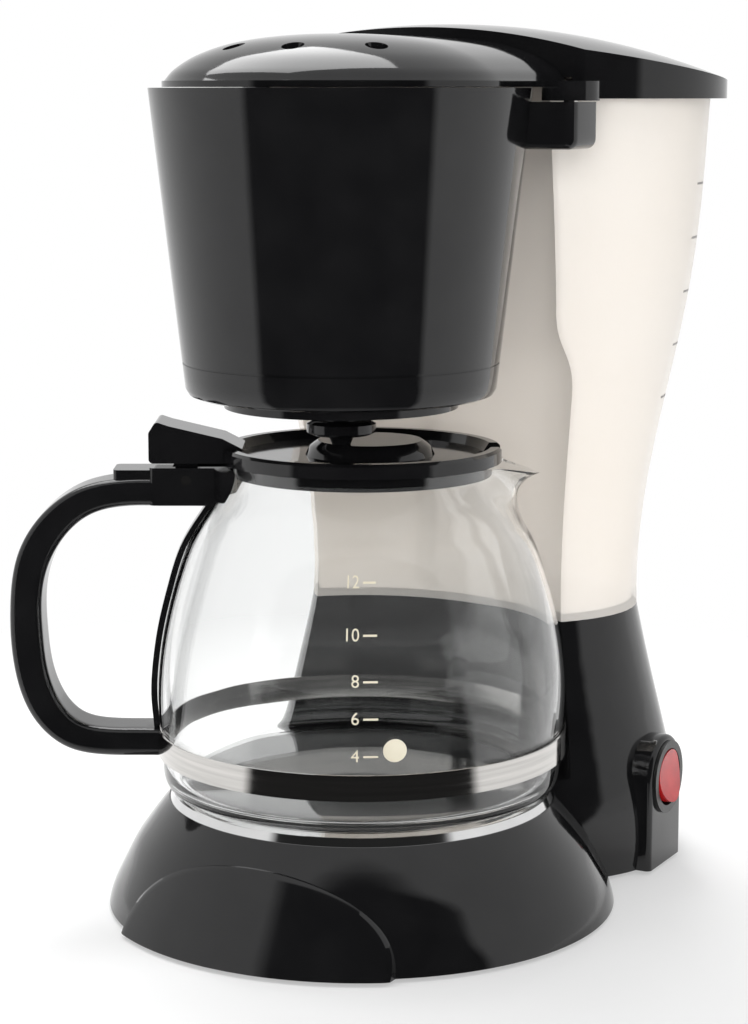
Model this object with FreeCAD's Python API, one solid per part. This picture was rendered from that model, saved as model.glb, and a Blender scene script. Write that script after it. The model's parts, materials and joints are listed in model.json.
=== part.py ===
import FreeCAD
import Part
import math
import os

# Drip coffee maker. Millimetres, Z up, front at -Y, right at +X.
# The origin is on the floor, below the centre of the hot plate.

# Driving dimensions
BASE_R = 92.0             # housing radius at the floor
BASE_TOP_R = 70.0         # housing radius at the edge round the hot plate
BASE_TOP_Z = 40.0         # height of that edge
WALL = 2.4                # moulded wall
FOOT_H = 1.5              # rubber feet under the housing
WAIST_Z = 97.0            # joint between black column and water tank
TANK_TOP_Z = 293.0        # rim of the water tank
COLUMN_Y = 92.0           # centre of the column at the floor and the waist
TANK_TOP_Y = 96.0         # centre of the tank at its rim
COLUMN_FLOOR_A = 82.0     # half width of the column at the floor
WAIST_A = 65.5            # half width at the waist
TANK_TOP_A = 89.0         # half width at the tank rim
PLAN_RATIO = 0.82         # depth of the column plan over its width
JUG_BAY_R = 79.0          # hollow of the column front behind the jug
HEAD_BAY_LOW_R = 71.0     # hollow of the tank front above its step
HEAD_BAY_R = 66.5         # and at the rim, behind the brew head
BAY_STEP_Z = 182.5        # where the tank front starts to step forward
BAY_STEP_H = 33.0         # height of that step
PLATE_Z = 43.8            # top of the hot plate
PLATE_R = 63.5
JUG_ANGLE = 28.0          # the handle lies this far forward of -X
JUG_BELLY_R = 73.3        # widest part of the glass jug
JUG_RIM_Z = 161.8
JUG_NECK_R = 48.0
GLASS = 2.2
HEAD_Y = -15.0            # axis of the filter holder
HOLDER_TOP_R = 66.0
HOLDER_TOP_Z = 292.7
HOLDER_FLOOR_R = 54.0
HOLDER_FLOOR_Z = 187.0
COLLAR_R = 41.0           # ring under the holder
COLLAR_Z = 183.0
COVER_R = 61.0            # half width of the brew cover
COVER_TOP_Z = 311.0
COVER_BACK_Y = 40.0
LID_TOP_Z = 316.0
LID_SPHERE_R = 270.0
LID_CENTRE_Y = 70.0
LID_RIM_Z = 289.0
LID_OVERHANG = 6.0
HINGE_X = 71.0            # vertical pin of the filter holder
HINGE_Y = 19.0
HINGE_PIN_R = 2.5
LID_HINGE_Y = 176.0       # rear pin of the tank lid
LID_HINGE_Z = 285.0
SWITCH_Y = 88.0
SWITCH_Z = 35.0
SWITCH_X = 84.0           # face of the switch tongue
SWITCH_R = 10.0
FIT = 0.05                # radial clearance of a running pin
GAP = 0.4                 # clearance between moulded pieces
SEAT = 0.1                # clearance of a piece that stands in another
OVER = 1.0                # how far a cut runs past a face
SPAN = 400.0              # longer than the machine, for cuts across it
UP = FreeCAD.Vector(0, 0, 1)


def vec(x, y, z):
    return FreeCAD.Vector(x, y, z)


def cyl(radius, z_low, z_high, x=0.0, y=0.0):
    return Part.makeCylinder(radius, z_high - z_low, vec(x, y, z_low))


def tube(outer, inner, z_low, z_high, x=0.0, y=0.0):
    return cyl(outer, z_low, z_high, x, y).cut(cyl(inner, z_low, z_high, x, y))


def rod(radius, start, end):
    line = end.sub(start)
    return Part.makeCylinder(radius, line.Length, start, line)


def box(x_span, y_span, z_span):
    size = [span[1] - span[0] for span in (x_span, y_span, z_span)]
    return Part.makeBox(*size, vec(x_span[0], y_span[0], z_span[0]))


def slab(z_low, z_high):
    return box((-SPAN, SPAN), (-SPAN, SPAN), (z_low, z_high))


def across(radius, y_span, x, z):
    # Round bar along Y.
    return rod(radius, vec(x, y_span[0], z), vec(x, y_span[1], z))


def sideways(radius, x_span, y, z):
    # Round bar along X.
    return rod(radius, vec(x_span[0], y, z), vec(x_span[1], y, z))


def rounded_box(x_span, y_span, z_span, radius):
    block = box(x_span, y_span, z_span)
    upright = [edge for edge in block.Edges if abs(edge.tangentAt(0).z) > 0.99]
    return block.makeFillet(radius, upright)


def polygon(points):
    corners = [vec(*point) for point in points]
    return Part.makePolygon(corners + corners[:1])


def turned(points, y=0.0, angle=360.0, start=0.0):
    # Solid of revolution from straight (radius, height) points.
    face = Part.Face(polygon([(r, 0, z) for r, z in points]))
    solid = face.revolve(vec(0, 0, 0), UP, angle)
    solid.rotate(vec(0, 0, 0), UP, start)
    solid.translate(vec(0, y, 0))
    return solid


def turned_curve(curve, close, y=0.0, angle=360.0, start=0.0):
    # Solid of revolution: a smooth curve through (radius, height) points,
    # closed by straight lines through the points in close.
    smooth = Part.BSplineCurve()
    smooth.interpolate([vec(r, 0, z) for r, z in curve])
    ends = [curve[-1]] + close + [curve[0]]
    lines = Part.makePolygon([vec(r, 0, z) for r, z in ends])
    face = Part.Face(Part.Wire([smooth.toShape()] + lines.Edges))
    solid = face.revolve(vec(0, 0, 0), UP, angle)
    solid.rotate(vec(0, 0, 0), UP, start)
    solid.translate(vec(0, y, 0))
    return solid


def plan_wire(half_width, centre_y, z):
    # Ellipse of the column and tank plan.
    half_depth = half_width * PLAN_RATIO
    ellipse = Part.Ellipse(vec(0, centre_y, z), half_width, half_depth)
    return Part.Wire(ellipse.toShape())


def plan_prism(half_width, centre_y, z_low, z_high):
    face = Part.Face(plan_wire(half_width, centre_y, z_low))
    return face.extrude(vec(0, 0, z_high - z_low))


def bent_pipe(radius, points, bend):
    # Round bar along straight runs with tangent arcs at the inner points.
    edges = []
    here = points[0]
    for before, corner, after in zip(points, points[1:], points[2:]):
        back = before.sub(corner).normalize()
        ahead = after.sub(corner).normalize()
        reach = bend / math.tan(back.getAngle(ahead) / 2)
        enter = corner.add(FreeCAD.Vector(back).multiply(reach))
        leave = corner.add(FreeCAD.Vector(ahead).multiply(reach))
        half = back.add(ahead).normalize()
        depth = bend / math.sin(back.getAngle(ahead) / 2) - bend
        middle = corner.add(half.multiply(depth))
        edges.append(Part.LineSegment(here, enter).toShape())
        edges.append(Part.Arc(enter, middle, leave).toShape())
        here = leave
    edges.append(Part.LineSegment(here, points[-1]).toShape())
    path = Part.Wire(edges)
    first = points[1].sub(points[0])
    ring = Part.Wire(Part.Circle(points[0], first, radius).toShape())
    return path.makePipeShell([ring], True, False)


def bent_tube(outer, inner, points, bend):
    return bent_pipe(outer, points, bend).cut(bent_pipe(inner, points, bend))


def jug_turn(solid):
    # Turns a piece drawn with the jug handle along -X to its place.
    solid.rotate(vec(0, 0, 0), UP, JUG_ANGLE)
    return solid


def group(solids):
    return Part.makeCompound(solids)


# Forms shared by the housing, the tank and the pieces that follow them
# Each pair is (share of the height, share of the flare).
COLUMN_FLARE = [(0.0, 1.0), (0.5, 0.7), (0.75, 0.33), (0.92, 0.1), (1.0, 0.0)]
TANK_FLARE = [(0.0, 0.0), (0.14, 0.02), (0.28, 0.17), (0.42, 0.4)]
TANK_FLARE += [(0.6, 0.7), (0.8, 0.9), (1.0, 1.0)]
BASE_DOME = [(0.0, 1.0), (0.14, 0.93), (0.38, 0.73), (0.54, 0.59)]
BASE_DOME += [(0.72, 0.38), (0.88, 0.17), (1.0, 0.0)]
BASE_H = BASE_TOP_Z - FOOT_H


def column_form(inset):
    wires = []
    for height, flare in COLUMN_FLARE:
        z = FOOT_H + (WAIST_Z - FOOT_H) * height
        width = WAIST_A + (COLUMN_FLOOR_A - WAIST_A) * flare - inset
        wires.append(plan_wire(width, COLUMN_Y, z))
    return Part.makeLoft(wires, True)


def tank_form(inset):
    wires = []
    for height, flare in TANK_FLARE:
        z = WAIST_Z + (TANK_TOP_Z - WAIST_Z) * height
        width = WAIST_A + (TANK_TOP_A - WAIST_A) * flare - inset
        centre = COLUMN_Y + (TANK_TOP_Y - COLUMN_Y) * height
        wires.append(plan_wire(width, centre, z))
    return Part.makeLoft(wires, True)


def bay_form(offset, z_low):
    # Round hollow of the column and tank front, narrower behind the brew head.
    low_r = JUG_BAY_R + offset
    neck_r = HEAD_BAY_LOW_R + offset
    high_r = HEAD_BAY_R + offset
    step_top = BAY_STEP_Z + BAY_STEP_H
    middle = BAY_STEP_Z + BAY_STEP_H / 2
    bends = [(low_r, BAY_STEP_Z), (low_r, middle), (neck_r, middle), (neck_r, step_top)]
    step = Part.BezierCurve()
    step.setPoles([vec(r, 0, z) for r, z in bends])
    foot = [(0, z_low), (low_r, z_low), (low_r, BAY_STEP_Z)]
    head = [(neck_r, step_top), (high_r, TANK_TOP_Z), (high_r, SPAN), (0, SPAN), (0, z_low)]
    below = Part.makePolygon([vec(r, 0, z) for r, z in foot])
    above = Part.makePolygon([vec(r, 0, z) for r, z in head])
    face = Part.Face(Part.Wire(below.Edges + [step.toShape()] + above.Edges))
    return face.revolve(vec(0, 0, 0), UP, 360)


def base_form(inset):
    curve = []
    for height, flare in BASE_DOME:
        radius = BASE_TOP_R + (BASE_R - BASE_TOP_R) * flare - inset
        curve.append((radius, FOOT_H + BASE_H * height - inset * height))
    return turned_curve(curve, [(0, curve[-1][1]), (0, FOOT_H)])


# Housing: round base and column in one moulding, open below
TONGUE_HALF = 15.5        # half width of the switch tongue
TONGUE_TOP_Z = 51.0
TONGUE_ROOT_X = 55.0      # where the tongue starts inside the column
TONGUE_EDGE = 2.0
PLATE_HOLE_R = PLATE_R + 1.0
SWITCH_BORE_R = SWITCH_R + 2.2
SCREW_POSTS = [(-62.0, -45.0), (62.0, -45.0), (-60.0, 129.0), (60.0, 129.0)]
POST_R = 4.5
POST_TOP_Z = BASE_TOP_Z - 6.0
SCREW_R = 1.5
SCREW_DEPTH = 10.0
COVER_PLATE_TOP = FOOT_H + 2.5
CORD_HOLE_R = 7.0
CORD_HOLE_Z = 20.0
PORT_Y = 100.0            # water outlet and riser in the tank floor
FLOOR_PORTS = [(24.0, PORT_Y), (-24.0, PORT_Y)]
PORT_R = 8.0
PORT_BORE_R = 5.0         # bore of the grommets in the ports
COLUMN_ROOF = 2.5


def switch_tongue():
    arch_z = TONGUE_TOP_Z - TONGUE_HALF
    reach = (TONGUE_ROOT_X, SWITCH_X)
    lower = box(reach, (SWITCH_Y - TONGUE_HALF, SWITCH_Y + TONGUE_HALF), (FOOT_H, arch_z))
    arch = sideways(TONGUE_HALF, reach, SWITCH_Y, arch_z)
    tongue = lower.fuse(arch).removeSplitter()
    front = [edge for edge in tongue.Edges if edge.BoundBox.XMin > SWITCH_X - SEAT]
    rim = [edge for edge in front if edge.BoundBox.ZMax > FOOT_H + OVER]
    return tongue.makeFillet(TONGUE_EDGE, rim)


def base_housing():
    column = column_form(0).cut(bay_form(0, BASE_TOP_Z))
    outer = base_form(0).fuse(column).fuse(switch_tongue())
    column_space = column_form(WALL).cut(bay_form(WALL, BASE_TOP_Z - WALL))
    column_space = column_space.common(slab(FOOT_H, WAIST_Z - COLUMN_ROOF))
    shell = outer.cut(base_form(WALL).fuse(column_space))
    for x, y in SCREW_POSTS:
        post = cyl(POST_R, COVER_PLATE_TOP, POST_TOP_Z, x, y)
        shell = shell.fuse(post.common(outer))
        shell = shell.cut(cyl(SCREW_R, FOOT_H, COVER_PLATE_TOP + SCREW_DEPTH + 2 * OVER, x, y))
    shell = shell.cut(cyl(PLATE_HOLE_R, POST_TOP_Z, BASE_TOP_Z + OVER))
    shell = shell.cut(sideways(SWITCH_BORE_R, (0, SWITCH_X + OVER), SWITCH_Y, SWITCH_Z))
    shell = shell.cut(across(CORD_HOLE_R, (PORT_Y, SPAN), 0, CORD_HOLE_Z))
    for x, y in FLOOR_PORTS:
        shell = shell.cut(cyl(PORT_R + GAP, WAIST_Z - 2 * COLUMN_ROOF, WAIST_Z + OVER, x, y))
    return shell


# Bare arched plate on the front of the base
BADGE_HALF = 53.0
BADGE_TOP_Z = 32.0
BADGE_PROUD = 3.5         # how far it stands out at the floor
BADGE_FLARE = 7.8 / 22.0  # share of the dome's flare at its top
BADGE_FOOT_R = BASE_R + BADGE_PROUD
BADGE_APEX_R = BASE_TOP_R + (BASE_R - BASE_TOP_R) * BADGE_FLARE


def front_badge():
    rise = [(0, FOOT_H), (BADGE_FOOT_R, FOOT_H), (BADGE_APEX_R, BADGE_TOP_Z), (0, BADGE_TOP_Z)]
    ellipse = Part.Ellipse(vec(0, 0, FOOT_H), BADGE_HALF, BADGE_TOP_Z - FOOT_H)
    arch = Part.Face(Part.Wire(ellipse.toShape()))
    arch.rotate(vec(0, 0, FOOT_H), vec(1, 0, 0), 90)
    prism = arch.extrude(vec(0, -SPAN, 0))
    return turned(rise).common(prism).cut(base_form(0))


# Bottom cover with air slots, on rubber feet, held by four screws
COVER_INSET = WALL + 1.2
FEET = [(0.0, 0.0), (-58.0, -30.0), (58.0, -30.0)]
FEET += [(0.0, -68.0), (-48.0, 102.0), (48.0, 102.0)]
FOOT_R = 8.0
FOOT_STEM_R = 3.0
AIR_SLOTS = 5
AIR_SLOT_HALF = 14.0
AIR_SLOT_W = 3.0
AIR_SLOT_PITCH = 9.0
AIR_SLOT_Y = 70.0
SCREW_HEAD_R = 3.0
SCREW_HEAD_H = 1.2


def bottom_cover():
    below = FOOT_H - OVER
    above = COVER_PLATE_TOP + OVER
    plate = cyl(BASE_R - COVER_INSET, FOOT_H, COVER_PLATE_TOP)
    rear = plan_prism(COLUMN_FLOOR_A - COVER_INSET, COLUMN_Y, FOOT_H, COVER_PLATE_TOP)
    plate = plate.fuse(rear).removeSplitter()
    for x, y in SCREW_POSTS:
        plate = plate.cut(cyl(SCREW_R + SEAT, below, above, x, y))
    for x, y in FEET:
        plate = plate.cut(cyl(FOOT_STEM_R, below, above, x, y))
    for row in range(AIR_SLOTS):
        y = AIR_SLOT_Y + AIR_SLOT_PITCH * row
        plate = plate.cut(box((-AIR_SLOT_HALF, AIR_SLOT_HALF), (y, y + AIR_SLOT_W), (below, above)))
    return plate


def rubber_feet():
    feet = []
    for x, y in FEET:
        pad = cyl(FOOT_R, 0, FOOT_H, x, y)
        feet.append(pad.fuse(cyl(FOOT_STEM_R, FOOT_H, COVER_PLATE_TOP, x, y)).removeSplitter())
    return group(feet)


def cover_screws():
    screws = []
    for x, y in SCREW_POSTS:
        head = cyl(SCREW_HEAD_R, FOOT_H - SCREW_HEAD_H, FOOT_H, x, y)
        shank = cyl(SCREW_R - FIT, FOOT_H, COVER_PLATE_TOP + SCREW_DEPTH, x, y)
        screws.append(head.fuse(shank).removeSplitter())
    return group(screws)


# Hot plate and water heater
TRIM_STEP_Z = PLATE_Z - 2.2
HEATER_R = 42.0
HEATER_HALF = 6.5
HEATER_LOW_Z = 30.0
STUB_R = 4.0
STUB_X = 24.0
STUB_Z = 31.0
STUB_START_Y = 32.0
STUB_END_Y = 58.0
PLATE_EDGE = 1.0          # chamfer of the plate
TRIM_LEDGE = 5.0          # ledge of the trim under the plate
TRIM_RIM_T = 1.5
HEATER_CHAMFER = 3.0
HEATER_SWEEP = 290.0      # degrees of the ring, open at the rear
HEATER_START = 125.0
BRACKET_T = 1.8
BRACKET_HALF = 7.0
BRACKET_POST_R = 3.5
BRACKET_LOW_Z = HEATER_LOW_Z - BRACKET_T
STAT_R = 8.0
STAT_H = 6.0
STAT_X = 20.0
TAB_T = 0.8
TAB_W = 6.0
TAB_H = 7.0
FUSE_R = 2.6
FUSE_SPAN = (-32.0, -12.0)


def hot_plate():
    profile = [(0, TRIM_STEP_Z), (PLATE_R, TRIM_STEP_Z), (PLATE_R, PLATE_Z - PLATE_EDGE)]
    profile += [(PLATE_R - PLATE_EDGE, PLATE_Z), (0, PLATE_Z)]
    return turned(profile)


def hot_plate_trim():
    inner = PLATE_R + GAP
    plug = PLATE_HOLE_R - GAP
    low = BASE_TOP_Z - TRIM_RIM_T
    profile = [(inner - TRIM_LEDGE, low), (plug, low), (plug, BASE_TOP_Z), (BASE_TOP_R - GAP, BASE_TOP_Z)]
    profile += [(BASE_TOP_R - TRIM_RIM_T, PLATE_Z - PLATE_EDGE), (inner, PLATE_Z - PLATE_EDGE / 2)]
    profile += [(inner, TRIM_STEP_Z), (inner - TRIM_LEDGE, TRIM_STEP_Z)]
    return turned(profile)


def heater():
    low = HEATER_LOW_Z
    edge = HEATER_CHAMFER
    inner = HEATER_R - HEATER_HALF
    outer = HEATER_R + HEATER_HALF
    section = [(inner, TRIM_STEP_Z), (inner, low + edge), (inner + edge, low)]
    section += [(outer - edge, low), (outer, low + edge), (outer, TRIM_STEP_Z)]
    block = turned(section, angle=HEATER_SWEEP, start=HEATER_START)
    for side in (-1, 1):
        block = block.fuse(across(STUB_R, (STUB_START_Y, STUB_END_Y), side * STUB_X, STUB_Z))
    return block.removeSplitter()


def heater_bracket():
    reach = HEATER_R + BRACKET_POST_R
    bar = rounded_box((-reach, reach), (-BRACKET_HALF, BRACKET_HALF), (BRACKET_LOW_Z, HEATER_LOW_Z), 3.0)
    return bar.fuse(cyl(BRACKET_POST_R, HEATER_LOW_Z, TRIM_STEP_Z)).removeSplitter()


def contact_tab(x, y, z_low, z_high):
    return box((x - TAB_T / 2, x + TAB_T / 2), (y - TAB_W / 2, y + TAB_W / 2), (z_low, z_high))


def thermostat():
    low = BRACKET_LOW_Z - STAT_H
    can = cyl(STAT_R, low, BRACKET_LOW_Z, STAT_X, 0)
    for side in (-1, 1):
        can = can.fuse(contact_tab(STAT_X + side * STAT_R / 2, 0, low - TAB_H, low))
    return can.removeSplitter()


def thermal_fuse():
    return sideways(FUSE_R, FUSE_SPAN, 0, BRACKET_LOW_Z - FUSE_R)


# Water tank on the column, with its floor ports and rear hinge ears
TANK_WALL = 2.0
TANK_FLOOR_Z = WAIST_Z + 2.5
EAR_X = 22.0              # outer half width over the hinge ears
EAR_T = 5.0
KNUCKLE_R = 4.5
LID_PIN_R = 1.8
EAR_RISE = 3.0            # ear above the pin
GROMMET_T = 1.5           # flange of the grommets under the tank floor


def lid_hinge_rod(radius, x_span):
    return sideways(radius, x_span, LID_HINGE_Y, LID_HINGE_Z)


def water_tank():
    outer = tank_form(0).cut(bay_form(0, WAIST_Z - OVER))
    space = tank_form(TANK_WALL).cut(bay_form(TANK_WALL, WAIST_Z - OVER))
    space = space.common(slab(TANK_FLOOR_Z, TANK_TOP_Z + OVER))
    tank = outer.cut(space)
    back = TANK_TOP_Y + TANK_TOP_A * PLAN_RATIO
    ear_z = (LID_HINGE_Z - KNUCKLE_R, LID_HINGE_Z + EAR_RISE)
    for near in (-EAR_X, EAR_X - EAR_T):
        ear = box((near, near + EAR_T), (back - KNUCKLE_R, LID_HINGE_Y), ear_z)
        tank = tank.fuse(ear.cut(space)).fuse(lid_hinge_rod(KNUCKLE_R, (near, near + EAR_T)))
    tank = tank.cut(lid_hinge_rod(LID_PIN_R, (-EAR_X - OVER, EAR_X + OVER)))
    for x, y in FLOOR_PORTS:
        tank = tank.cut(cyl(PORT_R - GROMMET_T, WAIST_Z - OVER, TANK_FLOOR_Z + OVER, x, y))
    return tank.removeSplitter()


def tank_grommets():
    rings = []
    for x, y in FLOOR_PORTS:
        sleeve = tube(PORT_R - GROMMET_T, PORT_BORE_R, WAIST_Z, TANK_FLOOR_Z, x, y)
        flange = tube(PORT_R, PORT_BORE_R, WAIST_Z - COLUMN_ROOF, WAIST_Z, x, y)
        rings.append(sleeve.fuse(flange).removeSplitter())
    return group(rings)


# Tank lid: shallow dome with an arched front wall, hinged at the rear
LID_WALL = 2.2
BRIDGE_LOW_Z = TANK_TOP_Z  # bridge plate between the lid and the brew head
BRIDGE_TOP_Z = BRIDGE_LOW_Z + 3.0
LID_FRONT_Y = COVER_BACK_Y + 0.6
EAR_ROOM = 8.0            # notch of the lid rim round the tank ears
ARM_T = 3.0
RISER_ROOM = 1.2          # clearance round the riser in the lid front
RISER_Z = 301.0
RISER_R = 4.0
RISER_BORE_R = 2.8
RISER_X = FLOOR_PORTS[1][0]
RISER_Y = FLOOR_PORTS[1][1]


def lid_form(inset):
    plan = plan_prism(TANK_TOP_A + LID_OVERHANG - inset, TANK_TOP_Y, LID_RIM_Z, LID_TOP_Z + OVER)
    ball = Part.makeSphere(LID_SPHERE_R - inset, vec(0, LID_CENTRE_Y, LID_TOP_Z - LID_SPHERE_R))
    front = box((-SPAN, SPAN), (LID_FRONT_Y + inset, SPAN), (0, SPAN))
    return plan.common(ball).common(front)


def tank_lid():
    shell = lid_form(0).cut(lid_form(LID_WALL))
    below = LID_RIM_Z - OVER
    side = COVER_R + OVER
    shell = shell.cut(box((-side, side), (0, TANK_TOP_Y), (below, BRIDGE_TOP_Z + GAP)))
    notch = RISER_R + RISER_ROOM
    notch_y = (0, LID_FRONT_Y + LID_WALL + OVER)
    shell = shell.cut(box((RISER_X - notch, RISER_X + notch), notch_y, (below, RISER_Z)))
    shell = shell.cut(across(notch, notch_y, RISER_X, RISER_Z))
    half = EAR_X - EAR_T - GAP
    back = TANK_TOP_Y + (TANK_TOP_A + LID_OVERHANG) * PLAN_RATIO
    ear_room = EAR_X + OVER
    ear_top = LID_HINGE_Z + KNUCKLE_R + OVER
    shell = shell.cut(box((-ear_room, ear_room), (back - EAR_ROOM, SPAN), (below, ear_top)))
    arm = box((-half, half), (back - ARM_T, LID_HINGE_Y + ARM_T), (LID_HINGE_Z, LID_RIM_Z + ARM_T))
    shell = shell.fuse(arm.cut(lid_form(LID_WALL))).fuse(lid_hinge_rod(KNUCKLE_R, (-half, half)))
    return shell.cut(lid_hinge_rod(LID_PIN_R + FIT, (-EAR_X, EAR_X))).removeSplitter()


def tank_lid_pin():
    return lid_hinge_rod(LID_PIN_R, (-EAR_X, EAR_X))


# Brew head: bridge plate over the tank front, spray head and domed cover
COVER_LOW_Z = BRIDGE_LOW_Z + 2.0
BRIDGE_BACK_Y = 72.0
COVER_WALL = 2.0
EAR_DISC_R = 10.0
SPRAY_R = 34.0
SPRAY_HOLE_R = 28.0
KNUCKLE_TOP_Z = 288.0
KNUCKLE_LOW_Z = 272.0
COVER_ARCH = [(0.0, 1.0), (0.33, 0.95), (0.6, 0.8), (0.8, 0.55), (0.93, 0.25), (1.0, -0.05)]
VENT_ANGLES = [-29.0, 7.0, 45.0]
VENT_RING_R = 42.0
VENT_R = 3.8
VENT_DEPTH = 15.0
BRIDGE_INSET = COVER_WALL + 2.0
BRIDGE_TAIL_HALF = 46.0
LIP_OUT = 0.2             # lip of the bridge under the cover edge
HINGE_ARM_HALF = 8.0
HINGE_ARM_X = 40.0        # where the hinge arm and knuckle join the head
PIN_ROOF = 0.8
SPRAY_WALL = 2.0
SPRAY_RINGS = [(8.0, 6), (17.0, 10), (24.0, 14)]   # radius and number of holes
SPRAY_DROP_R = 1.2
RISER_BEND = 10.0
RISER_END_Y = HEAD_Y + 19.0


def d_prism(radius, back_y, z_low, z_high):
    # Half round at the front, straight sides to the back.
    front = cyl(radius, z_low, z_high, 0, HEAD_Y)
    return front.fuse(box((-radius, radius), (HEAD_Y, back_y), (z_low, z_high))).removeSplitter()


def cover_form(inset):
    width = COVER_R - inset
    height = COVER_TOP_Z - COVER_LOW_Z - inset
    curve = [(width * across, COVER_LOW_Z + height * up) for across, up in COVER_ARCH]
    floor_z = curve[-1][1]
    front = turned_curve(curve, [(0, floor_z)], HEAD_Y, 180, 180)
    smooth = Part.BSplineCurve()
    smooth.interpolate([vec(x, HEAD_Y, z) for x, z in curve])
    corners = [(curve[-1][0], floor_z), (0, floor_z), (0, curve[0][1])]
    lines = Part.makePolygon([vec(x, HEAD_Y, z) for x, z in corners])
    half = Part.Face(Part.Wire([smooth.toShape()] + lines.Edges))
    right = half.extrude(vec(0, COVER_BACK_Y - HEAD_Y, 0))
    left = right.mirror(vec(0, 0, 0), vec(1, 0, 0))
    return front.fuse(right).fuse(left).removeSplitter()


def brew_cover():
    shell = cover_form(0).common(slab(COVER_LOW_Z, SPAN)).cut(cover_form(COVER_WALL))
    for angle in VENT_ANGLES:
        turn = math.radians(angle)
        x = VENT_RING_R * math.sin(turn)
        y = HEAD_Y - VENT_RING_R * math.cos(turn)
        shell = shell.cut(cyl(VENT_R, COVER_TOP_Z - VENT_DEPTH, COVER_TOP_Z + OVER, x, y))
    return shell.removeSplitter()


def head_bridge():
    thick = (BRIDGE_LOW_Z, BRIDGE_TOP_Z)
    plate = d_prism(COVER_R - BRIDGE_INSET, COVER_BACK_Y, *thick)
    tail_y = (COVER_BACK_Y - OVER, BRIDGE_BACK_Y)
    plate = plate.fuse(box((-BRIDGE_TAIL_HALF, BRIDGE_TAIL_HALF), tail_y, thick))
    lip = d_prism(COVER_R + LIP_OUT, COVER_BACK_Y, BRIDGE_LOW_Z, COVER_LOW_Z)
    arm_y = (HINGE_Y - HINGE_ARM_HALF, HINGE_Y + HINGE_ARM_HALF)
    arm = box((HINGE_ARM_X, HINGE_X), arm_y, (BRIDGE_LOW_Z, COVER_LOW_Z))
    ear = cyl(EAR_DISC_R, KNUCKLE_TOP_Z + GAP, COVER_LOW_Z, HINGE_X, HINGE_Y)
    plate = plate.fuse(lip).fuse(arm).fuse(ear)
    plate = plate.cut(cyl(SPRAY_HOLE_R, BRIDGE_LOW_Z - OVER, BRIDGE_TOP_Z + OVER, 0, HEAD_Y))
    plate = plate.cut(cyl(HINGE_PIN_R, KNUCKLE_LOW_Z, BRIDGE_LOW_Z - PIN_ROOF, HINGE_X, HINGE_Y))
    return plate.removeSplitter()


def spray_head():
    cap_top = RISER_Z + RISER_R + OVER
    plug = cyl(SPRAY_HOLE_R - GAP, BRIDGE_LOW_Z + GAP, BRIDGE_TOP_Z, 0, HEAD_Y)
    cap = cyl(SPRAY_R, BRIDGE_TOP_Z, cap_top, 0, HEAD_Y)
    cap = cap.cut(cyl(SPRAY_R - SPRAY_WALL, BRIDGE_TOP_Z + OVER, cap_top - TANK_WALL, 0, HEAD_Y))
    head = plug.fuse(cap)
    head = head.cut(across(RISER_R + FIT, (HEAD_Y, HEAD_Y + SPRAY_R + OVER), RISER_X, RISER_Z))
    for ring, count in SPRAY_RINGS:
        for step in range(count):
            turn = 2 * math.pi * step / count
            x = ring * math.cos(turn)
            y = HEAD_Y + ring * math.sin(turn)
            head = head.cut(cyl(SPRAY_DROP_R, BRIDGE_LOW_Z - OVER, BRIDGE_TOP_Z + 2 * OVER, x, y))
    return head.removeSplitter()


# Hoses under the tank, the riser, the check valve and its ball
HOSE_R = 5.6
HOSE_BORE_R = STUB_R + FIT
HOSE_TOP_Z = 78.0
HOSE_GRIP = 12.0          # length of hose over a stub
HOSE_BEND = 16.0
CLAMP_T = 1.0
CLAMP_W = 4.0
CLAMP_IN = 5.0            # clamp from the hose end
VALVE_R = 8.0
VALVE_BORE_R = 2.6
BALL_R = 3.6
BALL_ROOM = 0.4
BALL_LIFT = 2.0
BALL_SEAT_Z = 82.0
VALVE_TOP_Z = WAIST_Z - COLUMN_ROOF


def riser_tube():
    low = vec(RISER_X, RISER_Y, HOSE_TOP_Z - HOSE_GRIP)
    route = [low, vec(RISER_X, RISER_Y, RISER_Z), vec(RISER_X, RISER_END_Y, RISER_Z)]
    return bent_tube(RISER_R, RISER_BORE_R, route, RISER_BEND)


def water_hose(side):
    x = side * STUB_X
    start = vec(x, STUB_END_Y - HOSE_GRIP, STUB_Z)
    route = [start, vec(x, PORT_Y, STUB_Z), vec(x, PORT_Y, HOSE_TOP_Z)]
    return bent_tube(HOSE_R, HOSE_BORE_R, route, HOSE_BEND)


def inlet_hose():
    return water_hose(1)


def outlet_hose():
    return water_hose(-1)


def hose_clamps():
    clamps = []
    for side in (-1, 1):
        x = side * STUB_X
        y = STUB_END_Y - HOSE_GRIP + CLAMP_IN
        ring = across(HOSE_R + CLAMP_T, (y, y + CLAMP_W), x, STUB_Z)
        clamps.append(ring.cut(across(HOSE_R, (y, y + CLAMP_W), x, STUB_Z)))
        top = HOSE_TOP_Z - CLAMP_IN
        clamps.append(tube(HOSE_R + CLAMP_T, HOSE_R, top - CLAMP_W, top, x, PORT_Y))
    return group(clamps)


def check_valve():
    x, y = FLOOR_PORTS[0]
    stub_low = HOSE_TOP_Z - HOSE_GRIP
    body = cyl(VALVE_R, HOSE_TOP_Z, VALVE_TOP_Z, x, y)
    body = body.fuse(cyl(STUB_R, stub_low, HOSE_TOP_Z, x, y))
    body = body.fuse(cyl(PORT_BORE_R - FIT, VALVE_TOP_Z, TANK_FLOOR_Z, x, y))
    cage_top = BALL_SEAT_Z + 2 * BALL_R + BALL_LIFT + BALL_ROOM
    body = body.cut(cyl(BALL_R + BALL_ROOM, BALL_SEAT_Z, cage_top, x, y))
    return body.cut(cyl(VALVE_BORE_R, stub_low - OVER, TANK_FLOOR_Z + OVER, x, y)).removeSplitter()


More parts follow.
